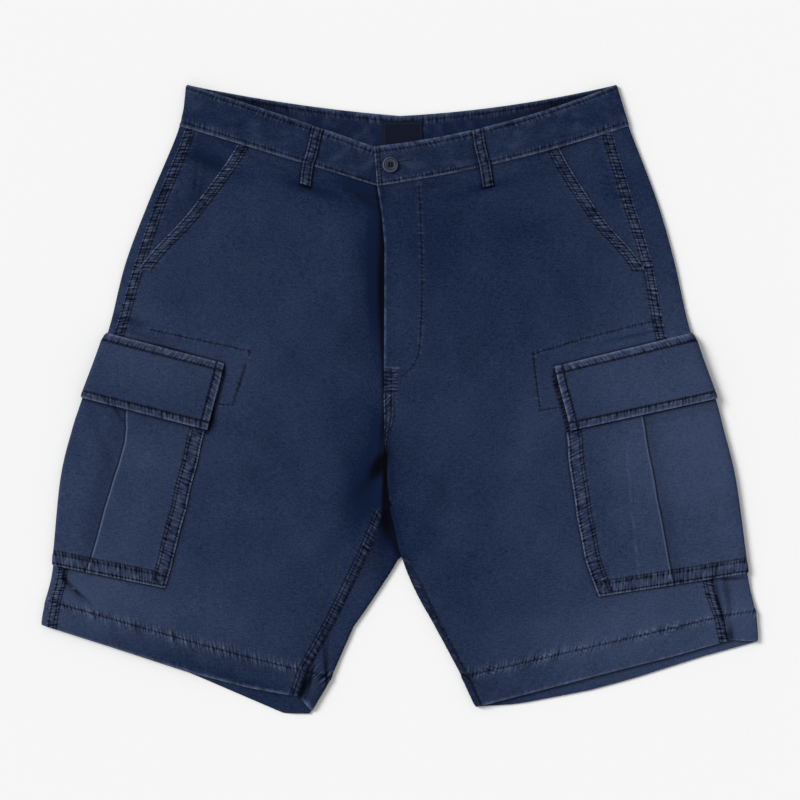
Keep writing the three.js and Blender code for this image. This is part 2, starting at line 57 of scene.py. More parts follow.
rightHalf = {
    "name": "right", "side": -1, "legBulge": 3.5,
    "apex": ([7, 7.085, 7.14, 7.26, 7.4, 7.6], [0, 6.3, 3.6, 2.8, 1.2, 0]),
    "foldX": [-213, -220.5, -251, -275, -292.5, -316, -327, -338.5, -347, -354, -358.5],
    "foldY": [315.5, 274, 200, 136, 67, 2, -31, -80, -165, -198, -225],
    "seamIn": [6, 6, 6.5, 9, 6, 5, 5, 5, 5, 5, 5],
    "pocketIn": [64, 61, 42, 15, 6, 5, 5, 5, 5, 5, 5],
    "frontX": [-26, -23, -16, -16, -16, -15, -12.4, -31, -65, -91.4, -100.5],
    "frontY": [253.5, 214.5, 132, 63, -5, -76, -108, -153, -223, -270, -297],
    "frontSag": [-1, 0, 0, 0, 0, 0, 0, 0, 0, 0, 0],
    "backX": [0, 0, 0, 0, 0, -4, -10.15, -1.15, -46.5, -68, -88.5],
    "backY": [284.5, 245.5, 160, 88, 10, -70, -109, -149.5, -227, -276, -311],
    "backSag": [3.5, 3.5, 0, 0, 0, 0, 0, 0, 0, 0, 0],
    "hemFront": ([0, 0.25, 0.6, 0.8, 1], [0, 2.5, 6, 5, 0]),
    "hemBack": ([0, 0.55, 0.75, 0.9, 1], [0, 1, 7, 11.5, 3]),
    "under": 70,
    "flapReach": ([4, 5], [120.6, 127.5]),
    "pocketReach": ([4, 5, 6, 7, 8], [124, 125, 128.5, 128.3, 114.3]),
    "pleat": ([4, 5, 5.5, 6, 6.5, 7, 7.5, 8], [44, 44.5, 50.5, 53.5, 53.5, 50.5, 43, 34]),
    "pressed": ([5, 8], [30, 30], 0.0),
}
leftHalf = {
    "name": "left", "side": 1, "legBulge": 3.0,
    "apex": ([7, 7.3], [0, 0]),
    "foldX": [216.5, 229, 257, 274.5, 291, 314, 322, 335, 347.5, 355, 358],
    "foldY": [315.5, 274, 200, 139, 67, 1, -28, -82, -173, -209, -241.5],
    "seamIn": [12, 17, 23, 22, 25, 27, 29, 32, 35, 32, 29],
    "pocketIn": [72, 72, 57.5, 31, 25, 27, 29, 32, 35, 32, 29],
    "frontX": [-26.5, -23, -16, -16, -16, -15, -7.7, 6, 38, 66, 81],
    "frontY": [253.5, 214, 132, 63, -8, -71, -105, -154, -222, -274, -306],
    "frontSag": [9, 6, 3, 0, 0, 0, 0, 0, 0, 0, 0],
    "backX": [0, 0, 0, 0, 0, -3, -9.85, -0.85, 33, 61, 76],
    "backY": [284.5, 245.5, 160, 88, 10, -66, -106, -149.5, -223, -275, -307],
    "backSag": [5, 5, 0, 0, 0, 0, 0, 0, 0, 0, 0],
    "hemFront": ([0, 0.1, 0.3, 0.5, 1], [0, -8, -5, -4, 0]),
    "hemBack": ([0, 0.2, 0.45, 0.6, 0.85, 1], [0, 2.5, 8.5, 10, 7, 0]),
    "under": 48,
    "flapReach": ([4, 5], [140.4, 147.1]),
    "pocketReach": ([4, 5, 6, 7, 7.5, 8], [146, 151.4, 157, 162, 159.5, 150.4]),
    "pleat": ([4, 5, 6, 7, 8], [74, 74, 77, 80, 75]), "pressed": ([5, 8], [15, 33], 0.28),
}
centreFront = ([-107, -76, -40, 0, 60, 155, 185, 214, 254],
               [-11.5, -14, -15.5, -16.5, -16, -15.6, -18.4, -23, -26])
centreBack = ([-107, -68, 10, 290], [-10, -4, 0, 0])
liftAcross = ([1, 1.25, 8.65, 8.97], [0.8, 0, 0, 0.8])
liftPocket = ([3.7, 4, 4.12, 5, 5.3, 8, 8.3], [0, 1.9, 3.9, 3.9, 1.5, 1.5, 0])
liftFade = 60
flapInner = ([4, 4.12, 5], [0.3, 2.3, 2.3])

# Soft folds of the layer on top: x, y, turn in degrees, length, width and height
folds = {
    "right": [
        (-165, 185, 60, 60, 35, 1.5), (-97, 208, 0, 16, 12, -1.2), (-62, 175, 110, 45, 22, -0.9),
        (-250, 80, -15, 42, 9, -1.3), (-160, -35, 80, 45, 22, 1.2), (-130, -92, 10, 55, 18, -1.1),
        (-26, -75, 92, 50, 12, -1.9), (-86, -255, 64, 42, 12, -1.0), (-325, -190, -50, 18, 5, -1.2),
        (-190, -200, 20, 60, 22, 0.9), (-100, 70, 62, 60, 16, 0.8), (-70, -20, 100, 55, 14, 0.9),
        (-190, 245, -18, 26, 9, -1.4), (-205, 216, 84, 17, 2.6, -0.8), (-60, -120, 48, 50, 9, 0.9),
        (-170, 279, 45, 10, 2.6, 0.5), (-140, 268, -30, 14, 2.6, 0.5), (-112, 262, -14, 14, 3, -0.5),
        (-150, 291, -12, 20, 3, 0.4), (-60, 258, -20, 15, 3, 0.45), (-192, 297, -8, 14, 3, 0.4),
        (-326, -190, -50, 15, 3, -1.2), (-238, 165, 62, 18, 3, 0.5), (-178, 222, 40, 14, 3, 0.5),
        (-40, 192, -28, 24, 5, -0.8), (-62, 205, -8, 26, 4, 0.6), (-44, -30, 60, 30, 5, 0.5),
        (-120, -60, 8, 50, 6, 0.35), (-300, -60, 78, 50, 5, 0.6), (-292, -90, 76, 60, 6, -0.6),
        (-230, -120, 84, 40, 7, 0.5), (-212, -110, 80, 46, 6, -0.4),
    ],
    "left": [
        (65, 165, 95, 55, 14, -1.3), (145, 170, -60, 55, 32, 1.4), (0, 140, 90, 50, 10, 0.5),
        (200, 68, 15, 42, 8, -1.2), (128, -62, 40, 45, 15, 1.3), (68, -122, -62, 60, 18, -1.2),
        (4, -70, 90, 42, 11, 1.0), (77, -270, 0, 14, 9, -0.9), (332, -222, 90, 18, 5, -1.1),
        (170, -215, -20, 60, 22, 0.9), (60, 60, 78, 60, 15, 0.8), (40, -70, 66, 60, 9, 0.8),
        (205, 235, 12, 22, 8, -0.8), (9, 57, 38, 12, 2.6, 0.7), (212, 222, -65, 20, 3, -0.5),
        (140, 277, 30, 14, 3, 0.5), (100, 263, 12, 18, 3, -0.4), (60, 254, 8, 16, 3, 0.45),
        (180, 292, 18, 18, 3, 0.4), (200, 284, 60, 10, 2.6, -0.45), (30, 240, -12, 14, 3, 0.4),
        (238, 160, -70, 24, 3, 0.5), (226, 200, -55, 16, 3, -0.5), (150, 120, -75, 44, 8, 0.35),
        (236, -118, -82, 48, 5, -0.5), (225, -100, -84, 50, 5, 0.45), (300, -70, -78, 60, 7, 0.5),
        (316, -130, -80, 50, 6, -0.5), (60, 20, 20, 50, 6, 0.3), (100, -150, -20, 60, 7, 0.3),
    ],
    "both": [(-10, -107, 90, 24, 18, -1.9)],
}

rng = np.random.default_rng(20)
lattice = rng.uniform(-1, 1, (256, 256))


# 3tt - 2ttt of the clipped share t of the way from low to high
def smooth(low, high, value):
    t = np.clip((np.asarray(value, float) - low) / (high - low), 0, 1)
    return t * t * (3 - 2 * t)


# Random heights on a lattice of that size, blended by smooth steps: -1 to 1
def noise(x, y=0.0, size=1.0, seed=0):
    x, y = np.broadcast_arrays(np.asarray(x, float) / size, np.asarray(y, float) / size + seed * 7.31)
    column, row = np.floor(x).astype(int), np.floor(y).astype(int)
    fx, fy = x - column, y - row
    fx, fy = fx * fx * (3 - 2 * fx), fy * fy * (3 - 2 * fy)
    pick = lambda i, j: lattice[(column + i + 31 * seed) & 255, (row + j) & 255]
    upper = pick(0, 0) * (1 - fx) + pick(1, 0) * fx
    lower = pick(0, 1) * (1 - fx) + pick(1, 1) * fx
    return upper * (1 - fy) + lower * fy


# A table's value at a place, straight between its rows
def lookUp(table, place):
    return np.interp(place, table[0], table[1])


# A column of the stations: a + (b - a) t between them, or a cubic that leaves each with the slope
# of its neighbours
def between(values, at, curved=False):
    values = np.asarray(values, float)
    last = len(values) - 1
    i = np.clip(np.floor(at).astype(int), 0, last - 1)
    t = at - i
    a, b = values[i], values[i + 1]
    if not curved:
        return a + (b - a) * t
    goA = (b - values[np.maximum(i - 1, 0)]) / 2
    goB = (values[np.minimum(i + 2, last)] - a) / 2
    square = 3 * (b - a) - 2 * goA - goB
    return a + goA * t + square * t ** 2 + (2 * (a - b) + goA + goB) * t ** 3


# What a half of the shorts measures at each station given: where its outer fold, front edge and
# back edge lie in plan, and the lengths between them
def sectionAt(half, at):
    at = np.asarray(at, float)
    fold = np.stack([between(half["foldX"], at, True), between(half["foldY"], at, True)], -1)
    front = np.stack([between(half["frontX"], at), between(half["frontY"], at)], -1)
    back = np.stack([between(half["backX"], at), between(half["backY"], at)], -1)
    shift = half["side"] * cloth["gap"] / 2
    above = at < crotchAt
    onSeam = lookUp(centreFront, front[..., 1]) + shift
    blend = smooth(5.88, crotchAt, at)
    front[..., 0] = np.where(above, onSeam + (front[..., 0] - onSeam) * blend, front[..., 0])
    back[..., 0] = np.where(above, lookUp(centreBack, back[..., 1]) + shift, back[..., 0])
    meet = smooth(5.3, 5.7, at) * (1 - smooth(7, 7.15, at))
    back[..., 0] += lookUp(half["apex"], at)
    back[..., 0] -= half["side"] * 0.9 * meet
    bulge = np.sin(math.pi * np.clip(at - 7, 0, 1))
    back[..., 0] -= half["side"] * half["legBulge"] * bulge
    seamIn, slanted = between(half["seamIn"], at), between(half["pocketIn"], at, True)
    return {
        "at": at, "fold": fold, "front": front, "back": back, "seamIn": seamIn,
        "pocketIn": np.where(at < pocketFootAt, np.maximum(slanted, seamIn), seamIn),
        "frontSag": between(half["frontSag"], at), "backSag": between(half["backSag"], at),
        "hem": smooth(pocketEndAt + 0.5, hemAt, at),
        "frontLength": np.linalg.norm(fold - front, axis=-1),
        "backLength": np.linalg.norm(fold - back, axis=-1),
        "down": np.interp(at, half["stations"], half["downs"]),
    }


# Straight from the fold to the inner edge, less a sag of 4 s (1 - s) and the hem's drop
def onLayer(half, s, inward, layer):
    share = inward / s[layer + "Length"]
    end = s["fold"] + (s[layer] - s["fold"]) * share[..., None]
    hem = lookUp(half["hemFront" if layer == "front" else "hemBack"], share)
    end[..., 1] -= s[layer + "Sag"] * 4 * share * (1 - share) + s["hem"] * hem
    return end


# How high the layer on top is lifted off its flat height: the waistband's and hem's share, and
# the pocket's and flap's, which fades out past their reach under the leg
def liftAt(half, at, inward):
    fade = 1 - smooth(half["under"], half["under"] + liftFade, inward)
    return lookUp(liftAcross, at) + lookUp(liftPocket, at) * fade


# The sum of soft bumps exp(-(along/length)^2 - (across/width)^2), soft waves and the fly's step
def riseAt(half, s, p):
    x, y = p[..., 0], p[..., 1]
    rise = np.full(x.shape, cloth["rise"])
    for foldX, foldY, turn, length, width, height in folds[half["name"]] + folds["both"]:
        c, d = math.cos(math.radians(turn)), math.sin(math.radians(turn))
        along, across = (x - foldX) * c + (y - foldY) * d, (y - foldY) * c - (x - foldX) * d
        rise = rise + height * np.exp(-(along / length) ** 2 - (across / width) ** 2)
    calm = smooth(1.0, 1.3, s["at"]) * (1 - smooth(8.7, 9, s["at"]))
    waves = noise(x, y, 34, 3) + 0.5 * noise(x, y, 15, 4)
    rise = rise + cloth["unevenness"] * waves * (0.35 + 0.65 * calm)
    down = smooth(flyStep["footY"], flyStep["fullY"], y)
    if half["side"] < 0:
        rise = rise - flyStep["rightDip"] * down * smooth(flyStep["dipFrom"], flyStep["dipTo"], x)
    else:
        rise = rise + flyStep["leftRise"] * down * (1 - smooth(flyStep["riseFrom"], flyStep["riseTo"], x))
    rise = np.clip(rise, cloth["leastRise"], cloth["mostRise"])
    toFold = np.linalg.norm(p - s["fold"], axis=-1)
    toInner = np.linalg.norm(p - s["back"], axis=-1)
    near = np.where(s["at"] >= crotchAt, np.minimum(toFold, toInner), toFold)
    roll = cloth["roll"] * np.maximum(0, 1 - near / cloth["rollReach"]) ** 2
    return np.maximum(rise - roll, cloth["leastRise"] - 0.3)


# Half the height of the top layer just inside the fold
def foldRadius(half, s, inner=False):
    share = np.where(inner, 1.0, 2.2 / s["frontLength"])[..., None]
    p = s["back"] if inner else s["fold"] + (s["front"] - s["fold"]) * share
    return riseAt(half, s, p) / 2


# Vectors over their own lengths
def unit(v):
    return v / np.linalg.norm(v, axis=-1, keepdims=True)


# The skin of a leg. Round the outer fold, "round" is the length along the cloth from the fold's
# outermost line: + on top, - below. Flat stretches are a layer's plan with its height; between
# them a half circle of the fold's radius joins top and bottom. Height moves a point outwards.
def skin(half, at, round, height=0.0, inner=False):
    at, round, height = np.broadcast_arrays(
        np.asarray(at, float), np.asarray(round, float), np.asarray(height, float))
    s = sectionAt(half, at)
    radius = foldRadius(half, s, inner)
    flat = np.abs(round) - radius * math.pi / 2  # how far past the half circle
    onTop = (flat >= 0) & (round > 0)
    below = (flat >= 0) & (round <= 0)
    inward = radius + np.maximum(flat, 0)
    if inner:
        direction = unit(s["front"] - s["back"] + 1e-9)
        pTop = s["back"] + direction * inward[..., None]
        pUnder = onLayer(half, s, s["backLength"] - inward, "back")
        lift = liftAt(half, at, s["backLength"])
        underLift = liftAt(half, at, s["backLength"] - inward)
        centre = s["back"]
        towards = unit(onLayer(half, s, s["backLength"] - 20, "back") - centre)
    else:
        pTop = onLayer(half, s, inward, "front")
        pUnder = onLayer(half, s, inward, "back")
        lift = liftAt(half, at, inward)
        underLift = lift
        centre = s["fold"]
        direction = unit(onLayer(half, s, np.full(at.shape, 20.0), "front") - centre)
        towards = unit(onLayer(half, s, np.full(at.shape, 20.0), "back") - centre)
    top = np.concatenate([pTop, (lift + riseAt(half, s, pTop) + height)[..., None]], -1)
    under = np.concatenate([pUnder, (underLift - height)[..., None]], -1)
    angle = np.clip(math.pi / 2 - round / radius, 0, math.pi)
    way = unit(direction + (towards - direction) * (angle / math.pi)[..., None])
    foldLift = liftAt(half, at, s["backLength"] if inner else 0 * at)
    arcPlan = centre + way * (radius - (radius + height) * np.sin(angle))[..., None]
    arc = np.concatenate([arcPlan, (foldLift + radius + (radius + height) * np.cos(angle))[..., None]], -1)
    return np.where(onTop[..., None], top, np.where(below[..., None], under, arc))


# The length down the middle of a half, so that rows can be evenly spaced in millimetres
for half in (rightHalf, leftHalf):
    half["stations"] = np.linspace(0, 10, 401)
    half["downs"] = np.zeros(401)
    s = sectionAt(half, half["stations"])
    middle = s["fold"] * 0.6 + s["front"] * 0.4
    step = np.linalg.norm(np.diff(middle, axis=0), axis=1)
    half["downs"] = np.concatenate([[0], np.cumsum(step)])


# Rows from one station to another, about that far apart, in a multiple of four
def rowsFor(half, start, end, step):
    low, high = np.interp([start, end], half["stations"], half["downs"])
    count = max(4, int(math.ceil((high - low) / step / 4)) * 4)
    downs = np.linspace(low, high, count + 1)
    rows = np.interp(downs, half["downs"], half["stations"])
    rows[0], rows[-1] = start, end
    return rows


# Columns between stops, each stretch split evenly by its own step, in a multiple of four
def columnsFor(stops, steps):
    stops = [np.atleast_1d(np.asarray(x, float)) for x in stops]
    counts = [max(1, int(math.ceil(np.abs(b - a).max() / st))) for a, b, st in zip(stops, stops[1:], steps)]
    counts[int(np.argmax(counts))] += -sum(counts) % 4
    parts = [stops[0][:, None]]
    for a, b, n in zip(stops, stops[1:], counts):
        share = np.arange(1, n + 1) / n
        parts.append(a[:, None] + (b - a)[:, None] * share)
    size = max(p.shape[0] for p in parts)
    return np.concatenate([np.broadcast_to(p, (size, p.shape[1])) for p in parts], 1)


# A flat cut in metres: the widest row, the length down, and the sum of mean width times step
def flatCut(half, rows, *columns):
    widths = sum(c[:, -1] - c[:, 0] if c[0, -1] > c[0, 0] else c[:, 0] - c[:, -1] for c in columns)
    down = downAt(half, rows.ravel())
    area = np.sum((widths[1:] + widths[:-1]) / 2 * np.diff(down))
    return (float(widths.max()) * mm, float(down[-1] - down[0]) * mm), float(area) * mm * mm


# A mesh from points in millimetres and face arrays of any width, with values for each point
def makeMesh(name, points, faces, values, material, sharp=50):
    mesh = bpy.data.meshes.new(name)
    points = points * mm
    points[:, 2] = np.maximum(points[:, 2], 0)  # nothing goes below the floor
    loops = np.concatenate([f.ravel() for f in faces]).astype(np.int32)
    totals = np.concatenate([np.full(len(f), f.shape[1]) for f in faces])
    starts = np.concatenate([[0], np.cumsum(totals)[:-1]]).astype(np.int32)
    mesh.vertices.add(len(points))
    mesh.vertices.foreach_set("co", points.astype(np.float32).ravel())
    mesh.loops.add(len(loops))
    mesh.loops.foreach_set("vertex_index", loops)
    mesh.polygons.add(len(starts))
    mesh.polygons.foreach_set("loop_start", starts)
    mesh.update(calc_edges=True)
    mesh.validate()
    mesh.shade_smooth()
    mesh.set_sharp_from_angle(angle=math.radians(sharp))
    for key, value in values.items():
        vector = value.ndim == 2
        layer = mesh.attributes.new(key, "FLOAT_VECTOR" if vector else "FLOAT", "POINT")
        layer.data.foreach_set("vector" if vector else "value", value.astype(np.float32).ravel())
    mesh.materials.append(material)
    piece = bpy.data.objects.new(name, mesh)
    bpy.context.scene.collection.objects.link(piece)
    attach(piece, "root")
    return piece


# A closed wall: the outer grid's cells, every few cells of the inner grid, and a rim between.
# keep says which of the coarse cells the piece has.
def shellFaces(n, m, every, keep=None):
    outer = np.arange(n * m).reshape(n, m)
    rows, cols = np.arange(0, n, every), np.arange(0, m, every)
    inner = n * m + np.arange(len(rows) * len(cols)).reshape(len(rows), len(cols))
    if keep is None:
        keep = np.ones((len(rows) - 1, len(cols) - 1), bool)
    fine = np.repeat(np.repeat(keep, every, 0), every, 1)
    cells = lambda g: np.stack([g[:-1, :-1], g[1:, :-1], g[1:, 1:], g[:-1, 1:]], -1)
    found = [cells(outer)[fine], cells(inner)[keep][:, ::-1]]
    padded = np.pad(keep, 1)
    run = np.arange(every + 1)
    for di, dj, flip in ((-1, 0, False), (1, 0, True), (0, -1, True), (0, 1, False)):
        size = (slice(1 + di, 1 + di + keep.shape[0]), slice(1 + dj, 1 + dj + keep.shape[1]))
        i, j = np.nonzero(keep & ~padded[size])
        i, j = i + (di > 0), j + (dj > 0)
        if di:
            edge = outer[(i * every)[:, None], (j * every)[:, None] + run]
            far = [inner[i, j + 1], inner[i, j]]
        else:
            edge = outer[(i * every)[:, None] + run, (j * every)[:, None]]
            far = [inner[i + 1, j], inner[i, j]]
        face = np.concatenate([edge, np.stack(far, -1)], 1)
        found.append(face[:, ::-1] if flip else face)
    return found


# A sixth of the sum of a . (b x c) over a closed surface's triangles: negative when inside out
def signedVolume(points, quads):
    a, b, c, d = (points[quads[:, k]] for k in range(4))
    return (np.einsum("ij,ij->", a, np.cross(b, c)) + np.einsum("ij,ij->", a, np.cross(c, d))) / 6


# A shell from grids of outer and inner points, each n by m by 3, in one or more parts
def makeShell(name, parts, material, sharp=50):
    points, faces, values, base = [], [], {}, 0
    for part in parts:
        outer, inner, every = part["outer"], part["inner"], part.get("every", 4)
        n, m = outer.shape[:2]
        coarse = inner[::every, ::every]
        partPoints = np.concatenate([outer.reshape(-1, 3), coarse.reshape(-1, 3)])
        partFaces = shellFaces(n, m, every, part.get("keep"))
        if signedVolume(partPoints, np.concatenate(partFaces[:2])) < 0:
            partFaces = [f[:, ::-1] for f in partFaces]
        used = np.zeros(len(partPoints), bool)
        for f in partFaces:
            used[f.ravel()] = True
        places = np.cumsum(used) - 1
        points.append(partPoints[used])
        faces += [places[f] + base for f in partFaces if len(f)]
        base += int(used.sum())
        for key, value in part["values"].items():
            shape = (-1, 3) if value.ndim == 3 else (-1,)
            plain = value if key in ("cloth", "run") else value * 0
            inside = part.get("insideValues", {}).get(key, plain)
            both = [value.reshape(shape), inside[::every, ::every].reshape(shape)]
            values.setdefault(key, []).append(np.concatenate(both)[used])
    values = {key: np.concatenate(v) for key, v in values.items()}
    points = np.concatenate(points)
    x, y = points[:, 0], points[:, 1]
    # Pale patches go everywhere; the dark ones, mostly painted shade, only on the layer on top
    pale, deep = [w for w in fadeLightAndShadePatches if w[5] > 0], [w for w in fadeLightAndShadePatches if w[5] < 0]
    values["fadeLightAndShade"] = patches(pale, x, y) + patches(deep, x, y) * (points[:, 2] > 2.5)
    values["fadeLightAndShade"] = values["fadeLightAndShade"] + 0.1 * noise(x, y, 45, 7) + 0.06 * noise(x, y, 18, 8)
    values["fadeLightAndShade"] = values["fadeLightAndShade"] + values.pop("tone", 0)
    # Painted crease shade joins the shade value on the layer on top
    if "shade" in values:
        values["shade"] = np.clip(values["shade"] + patches(paintedCreaseShade, x, y) * (points[:, 2] > 2.5), 0, 2)
    return makeMesh(name, points, faces, values, material, sharp)


# Ripples square to a seam: a sine of a wandering period, with noise on its size
def ladder(along, across, seed, period=5.6):
    phase = 2 * math.pi * along / period + 3.6 * noise(along, across * 0.3, 13, seed)
    size = 0.6 + 0.7 * noise(along, across, 9, seed + 1)
    return size * (0.5 * np.sin(phase) + noise(along, across * 0.6, 2.6, seed + 2))


# What stitching and wear do to a face: a height, a paleness from wear and a painted shade at each point
class Relief:
    def __init__(self, shape):
        self.height = np.zeros(shape)
        self.wearAndHighlight = np.zeros(shape)
        self.shade = np.zeros(shape)
        self.pucker = np.zeros(shape)
        self.run = np.zeros(shape)

    # Fine puckers: the strongest seam's strength and length along it are kept at each point
    def gather(self, strength, along):
        strength, along = np.broadcast_arrays(strength, along)
        better = strength > self.pucker
        self.pucker = np.where(better, strength, self.pucker)
        self.run = np.where(better, along, self.run)

    # A raised band from across 0 to width, rippled, with a groove for each row of stitches
    def seam(self, across, along, width, rows, seed, mask=1.0, lift=0.55, ripple=0.5, reach=4.0,
             wearAndHighlight=1.0, period=5.6, slant=0.35):
        band = smooth(-0.5, 0.5, across) * (1 - smooth(width - 0.5, width + 0.6, across))
        outside = np.maximum(0, np.maximum(-across, across - width))
        near = np.exp(-(outside / reach) ** 2)
        waves = ladder(along + slant * across, across, seed, period)
        self.height += mask * (lift * band + ripple * waves * near * (0.45 + 0.55 * band))
        for row in rows:
            groove = np.exp(-((across - row) / 0.75) ** 2)
            self.height -= mask * 0.36 * groove
            # Painted shade in the groove
            self.shade += mask * 0.95 * groove
        rims = np.exp(-((across - 0.5) / 0.8) ** 2) + np.exp(-((across - width + 0.5) / 0.8) ** 2)
        pale = band * (0.03 + 0.5 * np.clip(waves, 0, 1)) + 0.65 * rims * (0.7 + 0.6 * waves)
        pale = pale + (1 - band) * near * 0.25 * np.clip(waves - 0.1, 0, 1)
        self.wearAndHighlight += mask * wearAndHighlight * np.clip(pale, 0, 1)
        foot = np.exp(-((across - width - 1.0) / 0.9) ** 2)
        rowNear = sum(np.exp(-((across - row) / 2.4) ** 2) for row in rows)
        self.gather(mask * wearAndHighlight * (band * (0.35 + 0.65 * np.minimum(rowNear, 1)) + (1 - band) * 0.45 * near),
                    along + slant * across)
        # A painted shadow at the band's foot and painted shade in the ripples' hollows
        self.shade += mask * (0.95 * foot + band * (0.1 + 0.55 * np.clip(-waves, 0, 1)))

    # One row of stitches at across 0: a groove with ripples that fade on both sides
    def stitching(self, across, along, seed, mask=1.0, ripple=0.25, reach=3.2, depth=0.36, wearAndHighlight=1.0,
                  period=5.6):
        groove = np.exp(-(across / 0.75) ** 2)
        waves = ladder(along, across, seed, period)
        near = np.exp(-(across / reach) ** 2)
        self.height += mask * (ripple * waves * near - depth * groove)
        # Painted shade in the groove and in the ripples' hollows
        self.shade += mask * (0.8 * groove + 0.35 * near * np.clip(-waves, 0, 1))
        self.wearAndHighlight += mask * wearAndHighlight * near * np.clip(0.03 + 0.45 * waves, 0, 1) * (1 - groove)
        self.gather(mask * wearAndHighlight * 0.42 * near, along + 0.3 * across)

    # A worn, rounded edge at across 0, rising inwards
    def edge(self, across, mask=1.0, drop=0.5, reach=1.3, wearAndHighlight=0.8, along=None, seed=0):
        near = np.exp(-(np.maximum(across, 0) / reach) ** 2)
        uneven = 1.0
        if along is not None:
            uneven = 0.7 + 0.5 * noise(along, 0, 3.5, seed) + 0.2 * noise(along, 0, 20, seed)
        self.height -= mask * drop * near
        self.wearAndHighlight += mask * wearAndHighlight * near * uneven

    # A turned hem from its edge up to its row of stitches, puckered on both sides of the row
    def hem(self, fromHem, along, width, seed, lift=0.8):
        band = 1 - smooth(width - 1.5, width + 2.5, fromHem)
        self.height += lift * band
        self.edge(fromHem, along=along, seed=seed, wearAndHighlight=1.0, drop=0.7, reach=1.4)
        across = fromHem - width + 1.8
        waves = ladder(along + 0.5 * across, across * 0.4, seed + 1, 4.6)
        near = np.exp(-(across / 5.5) ** 2)
        groove = np.exp(-(across / 0.8) ** 2)
        self.height += 0.5 * waves * near - 0.2 * groove
        self.wearAndHighlight += near * np.clip(0.05 + 0.9 * waves, 0, 1) * (1 - 0.6 * groove)
        # Painted shade in the groove and in the ripples' hollows
        self.shade += 0.6 * groove + 0.65 * near * np.clip(-waves, 0, 1)
        self.gather(np.exp(-(across / 4.2) ** 2) * 0.7, along + 0.4 * across)
        foot = ladder(along, fromHem * 0.4, seed + 4, 7)
        self.height += 0.3 * foot * np.exp(-(fromHem / 5) ** 2)
        self.wearAndHighlight += 0.35 * np.clip(foot, 0, 1) * np.exp(-(fromHem / 3) ** 2)
        soft = noise(along + fromHem * 0.9, fromHem * 0.4, 9, seed + 6) * band
        self.height += 0.25 * soft
        # Painted shade in the soft hollows
        self.shade += 0.15 * np.clip(-soft, 0, 1)

    # What a mesh stores at its points, clipped to what the canvas reads
    def values(self, s, inward):
        place = np.stack([inward + 0 * s["down"], s["down"] + 0 * inward, 0 * inward], -1)
        return {"wearAndHighlight": np.clip(self.wearAndHighlight, 0, 1.2), "shade": np.clip(self.shade, 0, 1), "cloth": place,
                "pucker": np.clip(self.pucker, 0, 1), "run": self.run}


# Wash fading and wear over the whole garment, partly painted light falloff in the pale patches, and
# painted shade, mostly in the dark ones (the fly's gap, the crotch, under and along the waistband, near
# the hems): x, y, turn in degrees, length, width and paleness
fadeLightAndShadePatches = [
    (-330, -120, 78, 190, 60, 0.55), (330, -110, -76, 210, 70, 0.85), (-240, -190, 12, 150, 60, 0.35),
    (270, -250, 10, 150, 50, 0.55), (-170, 40, 80, 150, 90, 0.22), (190, -20, -80, 200, 90, 0.2),
    (-265, 95, 80, 60, 30, 0.3), (-150, 190, 60, 60, 40, 0.12), (280, -60, 85, 40, 60, 0.2),
    (2, 120, 90, 80, 15, 0.08), (-255, -80, 76, 80, 40, 0.32), (235, -80, -80, 80, 40, 0.3),
    (300, 0, -80, 60, 30, 0.25), (220, 20, 12, 90, 40, 0.3), (225, -215, 10, 130, 50, 0.4),
    (-230, -215, -12, 150, 45, 0.25), (-200, 25, -15, 80, 40, 0.15),
    (120, -120, -70, 150, 60, 0.18), (-250, 35, -16, 60, 24, 0.2), (-300, -190, 10, 40, 30, 0.3),
    (-258, -80, 78, 60, 14, 0.14), (-305, -80, 76, 70, 12, -0.16),
    (-24, 135, 90, 75, 7, -0.75), (-33, 150, 90, 60, 16, -0.3), (-22, -45, 88, 36, 7, -0.6),
    (-34, -80, 80, 50, 22, -0.5), (-16, -95, 82, 26, 7, -0.5), (-10, -135, 90, 22, 12, -0.45),
    (-186, 237, -25, 34, 8, -0.4), (-205, 205, 60, 26, 8, -0.2), (-275, 78, -16, 28, 7, -0.45),
    (30, 175, 90, 60, 34, -0.15), (120, 130, -50, 110, 70, -0.12), (215, 200, -65, 50, 16, -0.1),
    (-90, 212, -18, 40, 6, -0.35), (90, 214, 14, 40, 6, -0.3), (-45, 215, -12, 22, 7, -0.45),
    (0, 282, 0, 200, 9, -0.35), (-110, 290, -10, 90, 8, -0.4), (110, 290, 10, 90, 8, -0.4),
    (-75, -290, 40, 26, 8, -0.5), (150, -300, 14, 120, 7, -0.35), (-150, -285, -20, 70, 6, -0.3),
    (-10, -190, 60, 90, 12, -0.25),
]
